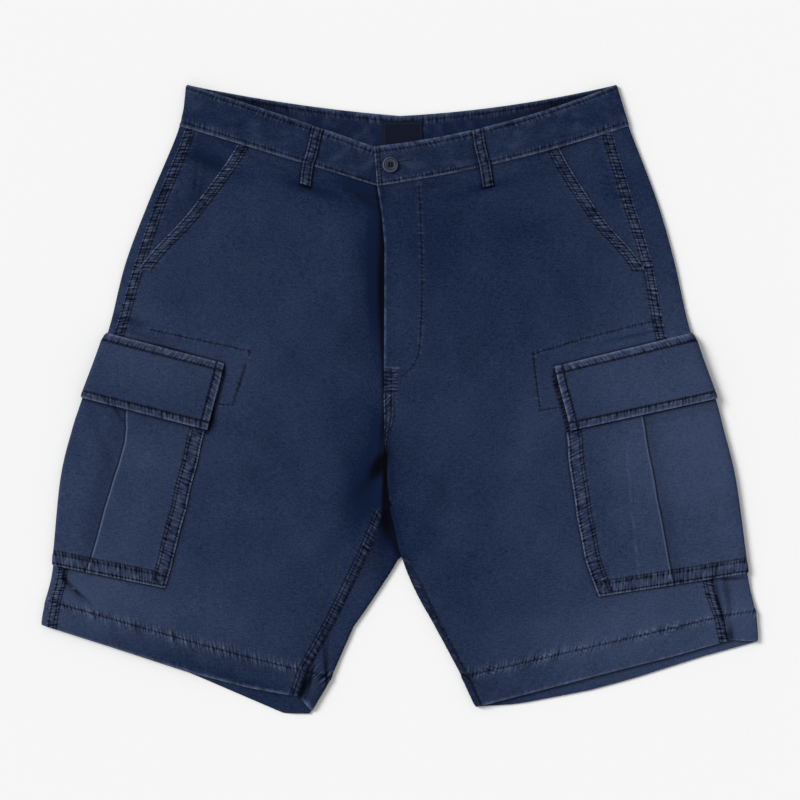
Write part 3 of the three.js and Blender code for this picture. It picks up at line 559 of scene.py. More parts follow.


# Painted shade in creases, gaps and under edges: x, y, turn in degrees, length, width and darkness
paintedCreaseShade = [
    (-19, -36, 86, 22, 2.2, 0.8), (-15.5, -84, 88, 24, 1.8, 0.9), (-14, -106, 84, 18, 3.0, 0.7),
    (-13, -124, 84, 16, 4.4, 0.8), (-205, 218, 84, 15, 1.8, 0.5), (-326, -190, -50, 14, 2.4, 0.7),
    (327, -192, -80, 20, 3.4, 0.6), (331, -236, -85, 12, 3, 0.8), (-92, 212, -14, 12, 2.5, 0.6),
    (84, 213, 10, 10, 2.5, 0.55), (-75, -264, -86, 28, 1.8, 0.8), (-36, 200, -30, 16, 3, 0.5),
    (-270, 80, -14, 18, 3.5, 0.35), (-262, 66, -16, 30, 2.5, 0.4), (-96, -286, 72, 13, 4.5, 0.9),
    (-19.5, 110, 90, 64, 3.6, 0.9), (-26, 128, 88, 52, 8, 0.35), (-200, 240, -22, 22, 5, 0.35),
    (-36, 205, -14, 30, 3, 0.35), (30, 214, 10, 30, 3, 0.3), (-22, -66, 62, 12, 7, 1.2),
    (-36, -86, 50, 26, 7, 0.5),
    (232, 64, 12, 28, 1.6, 0.55), (-228, 51, -16, 22, 1.6, 0.55), (-120, 232, -20, 26, 1.4, 0.35),
    (-165, 251, -24, 22, 1.4, 0.35), (150, 248, 16, 26, 1.5, 0.35), (66, 242, 6, 18, 1.3, 0.3),
    (-60, 226, -16, 16, 1.3, 0.35), (-300, -40, -70, 30, 5, 0.25), (292, 60, 10, 20, 1.4, 0.3),
    (-200, 212, 76, 20, 2.4, 0.35), (265, 190, -70, 26, 2.5, 0.3),
    (-282, -13, -60, 9, 1.4, 0.5), (-186, -21, 84, 9, 3, 0.7),
    (40, 275, 60, 9, 2, 0.6), (52, 280, 40, 7, 1.6, 0.5), (-16, -85, 86, 40, 2.2, 0.9),
    (319, -205, -80, 36, 2.6, 0.8), (330, -178.5, 3, 20, 1.6, 0.9), (-337, -174, -75, 16, 2, 0.6),
    (-20, -64, 60, 13, 5, 1.1), (-14.5, -104, 84, 12, 2.6, 0.5),
    (-318, -196, -42, 16, 1.6, 0.6), (-89, -277, 80, 16, 2, 0.8), (-73, -262, 89, 30, 1.2, 0.6),
]


# The sum of soft patches amount * exp(-(along/length)^2 - (across/width)^2) at places in plan
def patches(rows, x, y):
    total = np.zeros(np.shape(x))
    for patchX, patchY, turn, length, width, amount in rows:
        c, d = math.cos(math.radians(turn)), math.sin(math.radians(turn))
        along, across = (x - patchX) * c + (y - patchY) * d, (y - patchY) * c - (x - patchX) * d
        total = total + amount * np.exp(-(along / length) ** 2 - (across / width) ** 2)
    return total


# Painted shadow where an edge lies on the cloth, fading out over a distance from it
def contactShadow(distance, reach, amount=0.8):
    return amount * np.exp(-(np.maximum(distance, 0) / reach) ** 2)


# How far points lie across and along a line through given points, in any flat coordinates
def alongLine(points, x, y):
    points = np.asarray(points, float)
    best = np.full(np.shape(x), 1e9)
    across, along, run = np.zeros(np.shape(x)), np.zeros(np.shape(x)), 0.0
    for a, b in zip(points[:-1], points[1:]):
        length = np.linalg.norm(b - a)
        ux, uy = (b - a) / length
        t = np.clip((x - a[0]) * ux + (y - a[1]) * uy, 0, length)
        dx, dy = x - a[0] - t * ux, y - a[1] - t * uy
        gap = np.hypot(dx, dy)
        closer = gap < best
        across = np.where(closer, np.sign(dx * uy - dy * ux) * gap, across)
        along = np.where(closer, run + t, along)
        best = np.where(closer, gap, best)
        run += length
    return across, along


# A smooth curve through a few points
def curveThrough(points, count=40):
    points = np.asarray(points, float)
    place = np.linspace(0, len(points) - 1, count)
    return np.stack([between(points[:, 0], place, True), between(points[:, 1], place, True)], -1)


# Shader arithmetic: a socket that works in Python expressions
class Wire:
    def __init__(self, bench, socket):
        self.bench, self.socket = bench, socket

    def maths(self, operation, *terms):
        node = self.bench.node("ShaderNodeMath", {"operation": operation}, dict(enumerate(terms)))
        return node["Value"]

    def __add__(self, other):
        return self.maths("ADD", self, other)

    def __radd__(self, other):
        return self.maths("ADD", other, self)

    def __sub__(self, other):
        return self.maths("SUBTRACT", self, other)

    def __rsub__(self, other):
        return self.maths("SUBTRACT", other, self)

    def __mul__(self, other):
        return self.maths("MULTIPLY", self, other)

    def __rmul__(self, other):
        return self.maths("MULTIPLY", other, self)


# A node whose outputs are picked by name, as wires
class Node:
    def __init__(self, bench, node):
        self.bench, self.node = bench, node

    def __getitem__(self, name):
        return Wire(self.bench, self.node.outputs[name])


# A material's nodes: every node is made by one method, from its type, settings and inputs
class Bench:
    def __init__(self, name, **sockets):
        self.material = bpy.data.materials.new(name)
        self.material.use_nodes = True
        self.tree = self.material.node_tree
        self.shader = self.tree.nodes["Principled BSDF"]
        for key, value in sockets.items():
            self.shader.inputs[key.replace("_", " ")].default_value = value

    def node(self, kind, settings=None, inputs=None):
        node = self.tree.nodes.new(kind)
        for key, value in (settings or {}).items():
            if key == "stops":
                for stop, (place, colour) in zip(node.color_ramp.elements, value):
                    stop.position, stop.color = place, colour
            else:
                setattr(node, key, value)
        for key, value in (inputs or {}).items():
            self.feed(node.inputs[key], value)
        return Node(self, node)

    # A value stored at the points of a piece
    def value(self, key, output="Fac"):
        return self.node("ShaderNodeAttribute", {"attribute_name": key})[output]

    def noise(self, place, scale, detail):
        return self.node("ShaderNodeTexNoise", inputs={"Vector": place, "Scale": scale, "Detail": detail})["Fac"]

    def bump(self, height, strength, distance):
        inputs = {"Height": height, "Strength": strength, "Distance": distance}
        return self.node("ShaderNodeBump", inputs=inputs)["Normal"]

    # A sine over a length, brought to 0 to 1
    def wave(self, along, length):
        turn = along * (2 * math.pi / length)
        return turn.maths("SINE", turn) * 0.5 + 0.5

    def mix(self, share, first, second):
        node = self.node("ShaderNodeMix", {"data_type": "RGBA"}, {0: share, 6: first, 7: second})
        return Wire(self, node.node.outputs[2])

    def feed(self, socket, value):
        if isinstance(value, Wire):
            self.tree.links.new(value.socket, socket)
        else:
            socket.default_value = value

    def finish(self, **wires):
        for key, value in wires.items():
            self.feed(self.shader.inputs[key.replace("_", " ")], value)
        return self.material


# dark and black are the colours of painted shade; tickDark darkens the puckers' hollows as painted shade
canvas = {
    "deep": (0.0036, 0.0104, 0.0370, 1), "mid": (0.0395, 0.0572, 0.1160, 1),
    "pale": (0.1000, 0.1280, 0.2150, 1), "dark": (0.0012, 0.0024, 0.0090, 1),
    "roughness": 0.92, "sheen": 0.02, "specular": 0.06, "level": 0.22, "grain": 2.5, "weft": 1.7,
    "warp": 0.8, "cloud": 0.8, "thread": 0.62, "weaveBump": 0.10, "slubBump": 0.22,
    "tick": 3.5, "tickPale": 1.05, "tickDark": 1.25, "black": (0.0002, 0.0006, 0.0022, 1),
}


# Navy canvas: a blue between deep and mid by the fade, light and shade value (wash fading, partly
# painted light, with painted shade), broken up by grain and short slubs along both threads, paler
# where the wear value is high, painted shade toward dark and then black by the shade value, fine
# puckers pale on their crests with painted shade in their hollows, and a fine diagonal weave in the
# cloth's own millimetres
def makeCanvas(name):
    c = canvas
    bench = Bench(name, Roughness=c["roughness"], Sheen_Weight=c["sheen"], Sheen_Roughness=0.5,
                  Specular_IOR_Level=c["specular"])
    place = bench.node("ShaderNodeTexCoord")["Object"]
    wearAndHighlight, shade, fadeLightAndShade, pucker, run = (bench.value(key) for key in ("wearAndHighlight", "shade", "fadeLightAndShade", "pucker", "run"))
    threads = bench.value("cloth", "Vector")
    cloud, grain = bench.noise(place, 22, 4), bench.noise(place, 560, 3)
    slubs = []
    for stretch in ((1.3, 0.12, 1), (0.12, 1.3, 1)):
        long = bench.node("ShaderNodeVectorMath", {"operation": "MULTIPLY"}, {0: threads, 1: stretch})
        slubs.append(bench.noise(long["Vector"], 1.0, 1))
    parts = bench.node("ShaderNodeSeparateXYZ", inputs={0: threads})
    weave = bench.wave(parts["X"] + parts["Y"] * 0.5, c["thread"])
    sides = {0: run * 0.62, 1: parts["X"] * 0.14, 2: parts["Y"] * 0.14}
    far = bench.node("ShaderNodeCombineXYZ", inputs=sides)["Vector"]
    fast, slow = bench.noise(far, 1.0, 1), bench.noise(far, 0.17, 1)
    turns = run * (2 * math.pi / c["tick"]) + slow * 14
    tick = turns.maths("SINE", turns) * 0.42 + (fast - 0.5) * 2.9 + (slow - 0.5) * 0.9
    tick = tick * pucker
    # Fine puckers: paler crests as wear, and painted shade in their hollows
    wearAndHighlight = wearAndHighlight + tick.maths("MAXIMUM", tick, 0.0) * c["tickPale"]
    shade = shade + tick.maths("MAXIMUM", tick * -1.0, 0.0) * c["tickDark"]
    slub = (slubs[0] - 0.5) * c["warp"] + (slubs[1] - 0.5) * c["weft"]
    uneven = (grain - 0.5) * c["grain"] + slub + (cloud - 0.5) * c["cloud"]
    level = fadeLightAndShade * 0.65 + c["level"] + uneven * (fadeLightAndShade * 0.2 + 0.3)
    blue = bench.mix(level, c["deep"], c["mid"])
    blue = bench.mix(wearAndHighlight * (0.8 + (grain - 0.5) * 1.2), blue, c["pale"])
    # Painted shade by the shade value, going to black where it passes 1
    blue = bench.mix((shade * 0.85).maths("MINIMUM", shade * 0.85, 0.92), blue, c["dark"])
    blue = bench.mix((shade - 1.0) * 1.1, blue, c["black"])
    height = weave * c["weaveBump"] + (slubs[0] + slubs[1]) * c["slubBump"] + grain * 0.3 + tick * 0.5
    return bench.finish(Base_Color=blue, Normal=bench.bump(height, 0.4, 0.0004))


navy = makeCanvas("navyCanvas")


# Thread: dark to pale by noise a stitch or two long, with a fine twist of two plies across it
def makeThread(name, dark, pale, roughness):
    bench = Bench(name, Roughness=roughness, Specular_IOR_Level=0.04)
    place = bench.node("ShaderNodeTexCoord")["Object"]
    parts = bench.node("ShaderNodeSeparateXYZ", inputs={0: place})
    worn, fuzz = bench.noise(place, 190, 2), bench.noise(place, 2600, 1)
    ply = bench.wave(parts["X"] + parts["Y"], 0.0007)
    level = (worn - 0.5) * 1.6 + (fuzz - 0.5) * 0.7 + ply * 0.3 + 0.35
    bump = bench.bump(ply + fuzz * 0.6, 0.4, 0.00015)
    return bench.finish(Base_Color=bench.mix(level, dark, pale), Normal=bump)


threadMaterial = makeThread("navyThread", (0.0012, 0.0030, 0.0110, 1), (0.0050, 0.0105, 0.0300, 1), 0.8)
paleThread = makeThread("wornThread", (0.0240, 0.0360, 0.0750, 1), (0.0560, 0.0760, 0.1350, 1), 0.85)
print("materials ready")


# A point of the layer on top, that far in from the fold, raised by a height
def topPoint(half, at, inward, height=0.0):
    s = sectionAt(half, at)
    p = onLayer(half, s, inward, "front")
    z = liftAt(half, at, inward) + riseAt(half, s, p) + height
    return np.concatenate([p, z[..., None]], -1)


# Millimetres down the middle of a half at a station
def downAt(half, at):
    return np.interp(at, half["stations"], half["downs"])


# Where a place in plan lies on the layer on top: the nearest of a coarse table, then Newton steps
def locate(half, points):
    points = np.asarray(points, float)
    at, share = np.meshgrid(np.linspace(1, 10, 181), np.linspace(0, 1, 61), indexing="ij")
    s = sectionAt(half, at)
    p = onLayer(half, s, share * s["frontLength"], "front")
    nearest = ((points[:, None, None] - p) ** 2).sum(-1).reshape(len(points), -1).argmin(1)
    at = at.ravel()[nearest]
    inward = (share * s["frontLength"]).ravel()[nearest]
    plan = lambda a, b: onLayer(half, sectionAt(half, a), b, "front")
    for _ in range(5):
        here = plan(at, inward)
        stepAt, stepIn = (plan(at + 1e-3, inward) - here) / 1e-3, (plan(at, inward + 0.05) - here) / 0.05
        gap = points - here
        det = stepAt[:, 0] * stepIn[:, 1] - stepAt[:, 1] * stepIn[:, 0]
        at = np.clip(at + (gap[:, 0] * stepIn[:, 1] - gap[:, 1] * stepIn[:, 0]) / det, 1, 10)
        inward = inward + (stepAt[:, 0] * gap[:, 1] - stepAt[:, 1] * gap[:, 0]) / det
    return at, inward


# A line of stitches: short stretches of the surface along a line of places
def stitchRow(surface, at, inward, pitch=3.4, share=0.66):
    at, inward = np.broadcast_arrays(np.asarray(at, float), np.asarray(inward, float))
    points = surface(at, inward)
    run = np.concatenate([[0], np.cumsum(np.linalg.norm(np.diff(points, axis=0), axis=1))])
    middles = np.arange(pitch / 2, run[-1], pitch)
    ends = []
    for offset in (-0.5, 0.5):
        place = np.clip(middles + offset * share * pitch, 0, run[-1])
        ends.append(np.stack([np.interp(place, run, points[:, k]) for k in range(3)], -1))
    return ends


stitch = {"radius": 0.3, "sides": 5, "sink": 0.22}


# Every stitch is a short tube of four rings, thinner and sunk at its ends
def makeStitches(name, rows, material, radius=None):
    radius = radius or stitch["radius"]
    start = np.concatenate([r[0] for r in rows])
    end = np.concatenate([r[1] for r in rows])
    axis = unit(end - start)
    side = unit(np.cross(axis, [0, 0, 1.0]))
    up = np.cross(side, axis)
    angle = np.arange(stitch["sides"]) * 2 * math.pi / stitch["sides"]
    rings = []
    for t, thin, sink in ((0, 0.4, -stitch["sink"]), (0.2, 1, 0), (0.8, 1, 0), (1, 0.4, -stitch["sink"])):
        centre = start + (end - start) * t + up * (sink + radius * 0.35)
        spoke = side[:, None] * np.cos(angle)[:, None] + up[:, None] * np.sin(angle)[:, None]
        rings.append(centre[:, None] + spoke * radius * thin)
    points = np.stack(rings, 1)
    count, n = len(start), stitch["sides"]
    base = np.arange(count)[:, None] * 4 * n
    k = np.arange(n)
    quads = []
    for ring in range(3):
        a, b = ring * n + k, ring * n + (k + 1) % n
        quads.append(np.stack([base + a, base + b, base + b + n, base + a + n], -1).reshape(-1, 4))
    first, last = (base + k)[:, ::-1], base + 3 * n + k
    return makeMesh(name, points.reshape(-1, 3), [np.concatenate(quads), first, last], {}, material, 80)


rightHalf["hemWidth"] = downAt(rightHalf, hemAt) - downAt(rightHalf, hemSeamAt)
leftHalf["hemWidth"] = downAt(leftHalf, hemAt) - downAt(leftHalf, hemSeamAt)
halves = (rightHalf, leftHalf)

# Lines on the fronts in plan: the fly's curved stitching, and the patch behind each flap
flyPoints = [(19, 216), (20.5, 181), (22, 141), (22, 104), (20.5, 67), (18.5, 46), (11, 32), (1, 23)]
flyLine = curveThrough(flyPoints, 60)
patchLines = {
    "right": [[(-250, 70.5), (-150, 49)], [(-150, 49), (-167, -5)], [(-167, -5), (-182, -4)]],
    "left": [[(254, 79), (182, 61), (133, 46)], [(133, 46), (140, -10.5)], [(140, -10.5), (159, -7)]],
}
rightHalf["patchIn"] = ([1, 4, 5, 10], [130, 150, 152, 140])
leftHalf["patchIn"] = ([1, 4, 5, 10], [140, 158, 172, 165])
frontSeams = {"slant": 10, "side": 9, "centre": 8, "inner": 9}  # widths of the felled bands
seamRows = {"slant": (2.2, 8.4), "side": (2.0, 7.4), "centre": (1.8, 6.4), "inner": (1.8, 7.2), "seat": (1.8, 6.2)}


loopStrip = {"width": 10.5, "wall": 1.4, "rows": (2.2, 8.3)}
loopPlaces = {
    "right": ([0.02, 0.5, 0.98, 1.12, 1.27], [132.8, 130.8, 128.7, 130.5, 133.5],
              [1.2, 1.5, 1.3, 1.1, 0.6]),
    "left": ([0.02, 0.5, 0.98, 1.12, 1.27], [138.5, 141, 142.5, 144.5, 147], [1.2, 1.5, 1.3, 1.1, 0.6]),
}


# How far outside a belt loop a place is, across its width
def loopDistance(half, at, inward):
    stations, places, _ = loopPlaces[half["name"]]
    middle = np.interp(at, stations, places) + loopStrip["width"] / 2
    return np.abs(inward - middle) - loopStrip["width"] / 2


# The centre seam's width in millimetres, which narrows to a point below
def centreWidth(y):
    return 9.5 - 9 * smooth(-8, -58, y)


# The fronts: the slanted pocket's edge, felled seams, the fly, the hem and lines of stitches, with painted
# shade under the waistband and in the fly's gap, and painted shadows beside edges, loops, flaps and pockets
def frontRelief(half, at, inward):
    at, inward = np.broadcast_arrays(np.asarray(at, float), np.asarray(inward, float))
    s = sectionAt(half, at)
    p = onLayer(half, s, inward, "front")
    x, y, down = p[..., 0], p[..., 1], s["down"]
    r = Relief(at.shape)
    seed = 10 if half["side"] < 0 else 40
    slanted = 1 - smooth(3.0, 3.05, at)
    outer = inward - s["pocketIn"]
    r.seam(outer, down, frontSeams["slant"], seamRows["slant"], seed, mask=slanted, ripple=0.45)
    r.edge(outer, mask=slanted, along=down, seed=seed + 3, wearAndHighlight=0.9)
    r.seam(inward - s["seamIn"], down, frontSeams["side"], seamRows["side"], seed + 4,
           mask=1 - slanted, ripple=0.45)
    fromEdge = s["frontLength"] - inward
    body = 1 - smooth(5.9, 6, at)
    if half["side"] > 0:
        open = smooth(26, 34, y) * body
        r.edge(fromEdge, mask=open, along=down, seed=seed + 5, wearAndHighlight=0.75, drop=0.6, reach=1.6)
        felled = (1 - smooth(5, 8, y)) * body
        across = fromEdge * frontSeams["centre"] / centreWidth(y)
        sunk = smooth(-58, -44, y)
        r.seam(across, down, frontSeams["centre"], seamRows["centre"], seed + 6, mask=felled * sunk,
               wearAndHighlight=0.8, slant=0.8)
        r.shade += felled * (1 - sunk) * contactShadow(fromEdge, 1.4, 0.9)
        r.edge(fromEdge, mask=felled * (1 - sunk), along=down, seed=seed + 12, wearAndHighlight=0.25, drop=0.9, reach=2.5)
        box = (1 - smooth(31, 33, y)) * smooth(5, 8, y) * (1 - smooth(15, 17, fromEdge))
        r.height += 0.3 * box
        r.shade += 0.2 * box + 0.35 * box * (fromEdge < 9)
        r.gather(0.7 * box, y)
        for tack, wide in ((32, 16), (5, 9)):
            bar = np.exp(-((y - tack) / 1.0) ** 2) * (1 - smooth(wide - 1, wide + 1, fromEdge))
            r.wearAndHighlight += 0.45 * bar
            r.height += 0.25 * bar
        across, along = alongLine(flyLine, x, y)
        r.stitching(across, along, seed + 7, mask=smooth(22, 26, y), ripple=0.14, reach=2.6, wearAndHighlight=0.8)
    leg = smooth(6, 6.15, at)
    if half["side"] < 0:
        r.seam(fromEdge, down, frontSeams["inner"], seamRows["inner"], seed + 8, mask=leg,
               ripple=0.45, wearAndHighlight=0.6)
        r.shade += leg * (0.8 * contactShadow(fromEdge, 0.9) + 0.15 * (fromEdge < frontSeams["inner"]))
    else:
        leg = leg * smooth(-160, -200, y)
        r.stitching(fromEdge - 1.4, down, seed + 8, mask=leg, ripple=0.3, reach=2.2, wearAndHighlight=0.5)
        r.shade += 0.35 * leg * contactShadow(fromEdge, 3)
    r.hem(downAt(half, hemAt) - down, inward, half["hemWidth"], seed + 20, cloth["bandRaise"])
    for number, line in enumerate(patchLines[half["name"]]):
        across, along = alongLine(line, x, y)
        r.stitching(across, along, seed + 11 + number, ripple=0.12, reach=2.4, wearAndHighlight=0.8, depth=0.25)
    fromWaist = down - downAt(half, waistAt)
    near = np.exp(-np.maximum(fromWaist, 0) / 3.2)
    r.height += 0.3 * near * ladder(inward, down, seed + 14, 7)
    # Painted shade under the waistband's seam, and painted shadows beside the loops, flap and pocket
    r.shade += 0.55 * np.exp(-(fromWaist / 1.8) ** 2)
    r.shade += contactShadow(loopDistance(half, at, inward), 2.0, 0.85) * (at < 1.3)
    beside, above = inward - lookUp(half["flapReach"], at), downAt(half, flapTopAt) - down
    r.shade += contactShadow(beside - 0.8, 2.6, 1.0) * (at > 4.03) * (at < 5.1)
    r.shade += contactShadow(above, 1.8, 1.0) * (above > -2) * (inward < half["flapReach"][1][0] + 1)
    below = down - downAt(half, pocketEndAt)
    r.shade += contactShadow(inward - lookUp(half["pocketReach"], at), 1.7, 0.85) * (at > 5) * (at < 8.01)
    r.shade += contactShadow(below, 1.8, 0.95) * (below > -2) * (inward < half["pocketReach"][1][-1] + 0.5)
    # Painted shadow in the gap beside the fly's edge, and painted shade fading out from it
    if half["side"] < 0:
        wide = 1.2 + 2.6 * np.exp(-((y - 112) / 48) ** 2) - 0.8 * (1 - smooth(-10, 30, y))
        r.shade += body * (1 - smooth(wide - 0.7, wide + 0.7, fromEdge))
        r.shade += body * contactShadow(fromEdge - wide, 2.2, 0.55)
    return r, s


# The front's outer face as a function of station and distance in
def frontSurface(half):
    return lambda at, inward: topPoint(half, at, inward, frontRelief(half, at, inward)[0].height)


# A front's grid: fine columns in its bands, wider ones between
def frontPart(half):
    rows = rowsFor(half, waistAt + 0.002, hemAt, 1.3)[:, None]
    s = sectionAt(half, rows[:, 0])
    under = 8 * (1 - smooth(3.2, 3.5, rows[:, 0])) if half["side"] < 0 else 0
    start, end = s["pocketIn"] + cloth["gap"] / 2, s["frontLength"] + under
    patch = np.interp(rows[:, 0], *half["patchIn"])
    fly = end - 37 if half["side"] > 0 else end - 30
    stops = [start, start + 11, patch - 6, patch + 6, fly - 6, fly + 4, end - 10, end]
    columns = columnsFor(stops, [1.1, 3, 1.2, 3.2, 1.2 if half["side"] > 0 else 3, 2.6, 1.0])
    relief, s = frontRelief(half, rows, columns)
    outer = topPoint(half, rows, columns, relief.height)
    inner = topPoint(half, rows, columns, -cloth["wall"] + 0 * relief.height)
    half["cuts"] = {"front": flatCut(half, rows, columns)}
    return {"outer": outer, "inner": inner, "values": relief.values(s, columns)}


# One of a half's pieces: its shell, which replaces the solid of that name
def sewPiece(kind, part, half):
    name = kind + "_" + half["name"]
    piece = makeShell(name + "_cloth", [part(half)], navy)
    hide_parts(name)
    half["pieces"][kind] = piece


for half in halves:
    half["pieces"] = {}
    sewPiece("front", frontPart, half)
print("fronts ready")


# Length round the leg to a place that far in, on the layer on top; the same below is negative
def roundAt(half, at, inward):
    s = sectionAt(half, at)
    return inward + foldRadius(half, s) * (math.pi / 2 - 1)


# The backs: felled into the side seams, hemmed below, with a strip that shows along the inseam, and
# painted shade in the strip's ripples' hollows, down the strip past the crotch and under the waist seam
def backRelief(half, at, across, seed, seamed=False):
    at, across = np.broadcast_arrays(np.asarray(at, float), np.asarray(across, float))
    r = Relief(at.shape)
    down = downAt(half, at)
    if half["side"] < 0:
        fromCentre = roundAt(half, at, sectionAt(half, at)["backLength"]) + across
        seat = (1 - smooth(5.8, 5.95, at)) * (across < 0)
        r.seam(fromCentre, down, frontSeams["centre"], seamRows["seat"], seed + 30, mask=seat, lift=0.2,
               ripple=0.2)
    r.hem(downAt(half, hemAt) - down, across, half["hemWidth"], seed + 20, cloth["bandRaise"])
    if seamed:
        waves = ladder(down, across, seed + 8, 5.2) * smooth(6.9, 7.3, at)
        r.height += 0.3 * waves
        r.wearAndHighlight += np.clip(0.5 * waves, 0, 1)
        r.shade += 0.5 * np.clip(-waves, 0, 1) + 0.3 * smooth(6.9, 7.3, at)
    fromWaist = down - downAt(half, waistAt)
    r.height += 0.3 * np.exp(-fromWaist / 3.2) * ladder(across, down, seed + 2, 7)
    r.shade += 0.55 * np.exp(-(fromWaist / 1.8) ** 2)
    return r


# One grid round the leg: from the side seam over the outer fold, below to the middle or, under
# the crotch, round the inner fold and up to the inner seam
def backPart(half):
    upper, lower = rowsFor(half, waistAt + 0.002, crotchAt, 1.7), rowsFor(half, crotchAt, hemAt, 1.5)
    rows = np.concatenate([upper, lower[1:]])[:, None]
    at = rows[:, 0]
    s = sectionAt(half, at)
    outerRadius, innerRadius = foldRadius(half, s), foldRadius(half, s, True)
    quarter = math.pi / 2 - 1
    start = s["seamIn"] - cloth["gap"] / 2 + outerRadius * quarter
    first = (len(upper) - 1) // 4 - (half["side"] < 0)
    split = np.arange(len(at)) >= first * 4
    last = np.where(split, s["backLength"] - innerRadius, s["backLength"]) + outerRadius * quarter
    bend = outerRadius * math.pi / 2
    wrap = columnsFor([start, bend, -bend, -bend - 25, -last], [1.5, 0.8, 1.5, 5])
    strip = np.linalg.norm(s["front"] - s["back"], axis=-1) - cloth["gap"]
    partly = innerRadius * (math.pi / 2 - np.arcsin(np.clip(1 - strip / innerRadius, 0, 1)))
    end = np.where(strip >= innerRadius, strip + innerRadius * quarter, partly)
    inner = columnsFor([-innerRadius * math.pi / 2, 0 * end, np.maximum(end, 0.4)], [0.8, 1.2])[:, 1:]
    inner = np.concatenate([inner, inner[:, -1:] * np.ones((1, -(inner.shape[1]) % 4))], 1)
    seed = 70 if half["side"] < 0 else 80
    relief = backRelief(half, rows, wrap, seed)
    reliefIn = backRelief(half, rows, inner + 400, seed + 4, half["side"] > 0)
    outerGrid, innerGrid = [], []
    for columns, height, isInner in ((wrap, relief.height, False), (inner, reliefIn.height, True)):
        outerGrid.append(skin(half, rows, columns, height, isInner))
        innerGrid.append(skin(half, rows, columns, -cloth["wall"] + 0 * height, isInner))
    if half["side"] < 0:
        # Painted shade on the right leg's inner strip: darker near the crotch, with painted shadows along the gap
        # beside the other leg and at the hem's slit
        place = innerGrid[1]
        reliefIn.shade += 0.35 * (1 - smooth(7.0, 7.6, rows))
        gapLine = alongLine([(-14, -80), (-13, -120), (-5, -138), (1, -152)], place[..., 0], place[..., 1])[0]
        reliefIn.shade += contactShadow(np.abs(gapLine), 6, 1.0)
        fromFront = np.maximum(end, 0.4)[:, None] - inner
        low = smooth(9.0, 9.6, rows)
        reliefIn.shade += low * contactShadow(fromFront, 3.2, 1.0)
        reliefIn.wearAndHighlight += low * 0.12 * smooth(5, 9, fromFront)
    else:
        # A little painted shade all over the left leg's inner strip
        reliefIn.shade += 0.12
    keep = np.ones(((len(rows) - 1) // 4, (wrap.shape[1] + inner.shape[1] - 1) // 4), bool)
    keep[:first, (wrap.shape[1] - 1) // 4:] = False
    sRows = sectionAt(half, rows)
    onWrap, onStrip = relief.values(sRows, wrap), reliefIn.values(sRows, inner + 400)
    values = {key: np.concatenate([onWrap[key], onStrip[key]], 1) for key in onWrap}
    strip = inner * smooth(crotchAt - 0.01, crotchAt, rows)
    half["cuts"]["back"] = flatCut(half, rows, wrap, strip)
    return {"outer": np.concatenate(outerGrid, 1), "inner": np.concatenate(innerGrid, 1),
            "values": values, "keep": keep}


for half in halves:
    sewPiece("back", backPart, half)
print("backs ready")


# The waistband's outer face: a worn top edge, rows of stitches above and below, and the fly end, with
# painted shade in the buttonhole's slit and the wrinkles' hollows and painted shadows beside the loops
def bandRelief(half, at, round, end, seed):
    at, round = np.broadcast_arrays(np.asarray(at, float), np.asarray(round, float))
    r = Relief(at.shape)
    down, width = downAt(half, at), downAt(half, waistAt)
    r.edge(down, along=round, seed=seed, wearAndHighlight=0.8, drop=0.7, reach=1.6)
    r.stitching(down - 4.6, round, seed + 1, ripple=0.2, reach=3.4)
    fromFoot = width - down
    r.edge(fromFoot, along=round, seed=seed + 3, wearAndHighlight=1.1, drop=0.5, reach=1.3)
    r.stitching(fromFoot - 3.8, round, seed + 4, ripple=0.22, reach=3.0)
    fromEnd = end - round
    r.edge(fromEnd, along=down, seed=seed + 7, wearAndHighlight=1.0, drop=0.6, reach=1.5)
    if half["side"] > 0:
        r.stitching(fromEnd - 1.8, down, seed + 8, ripple=0.15, reach=2)
        r.stitching(fromEnd - 5.2, down, seed + 9, ripple=0.15, reach=2)
        slit = smooth(8.2, 9.2, fromEnd) * (1 - smooth(39, 41, fromEnd))
        line = np.exp(-((down - 17.4) / 0.7) ** 2)
        r.height -= 0.5 * line * slit
        r.shade += 0.9 * line * slit
    slanted = noise(round + down * 0.8, down - round * 0.3, 10, seed + 5)
    r.height += 0.3 * slanted + 0.12 * noise(round, down, 4.5, seed + 6)
    r.wearAndHighlight += 0.16 * np.clip(slanted - 0.15, 0, 1)
    r.shade += 0.2 * np.clip(-slanted - 0.2, 0, 1)
    quarter = foldRadius(half, sectionAt(half, at)) * (math.pi / 2 - 1)
    r.shade += contactShadow(loopDistance(half, at, round - quarter), 2.0, 0.85) * (round > 0)
    return r


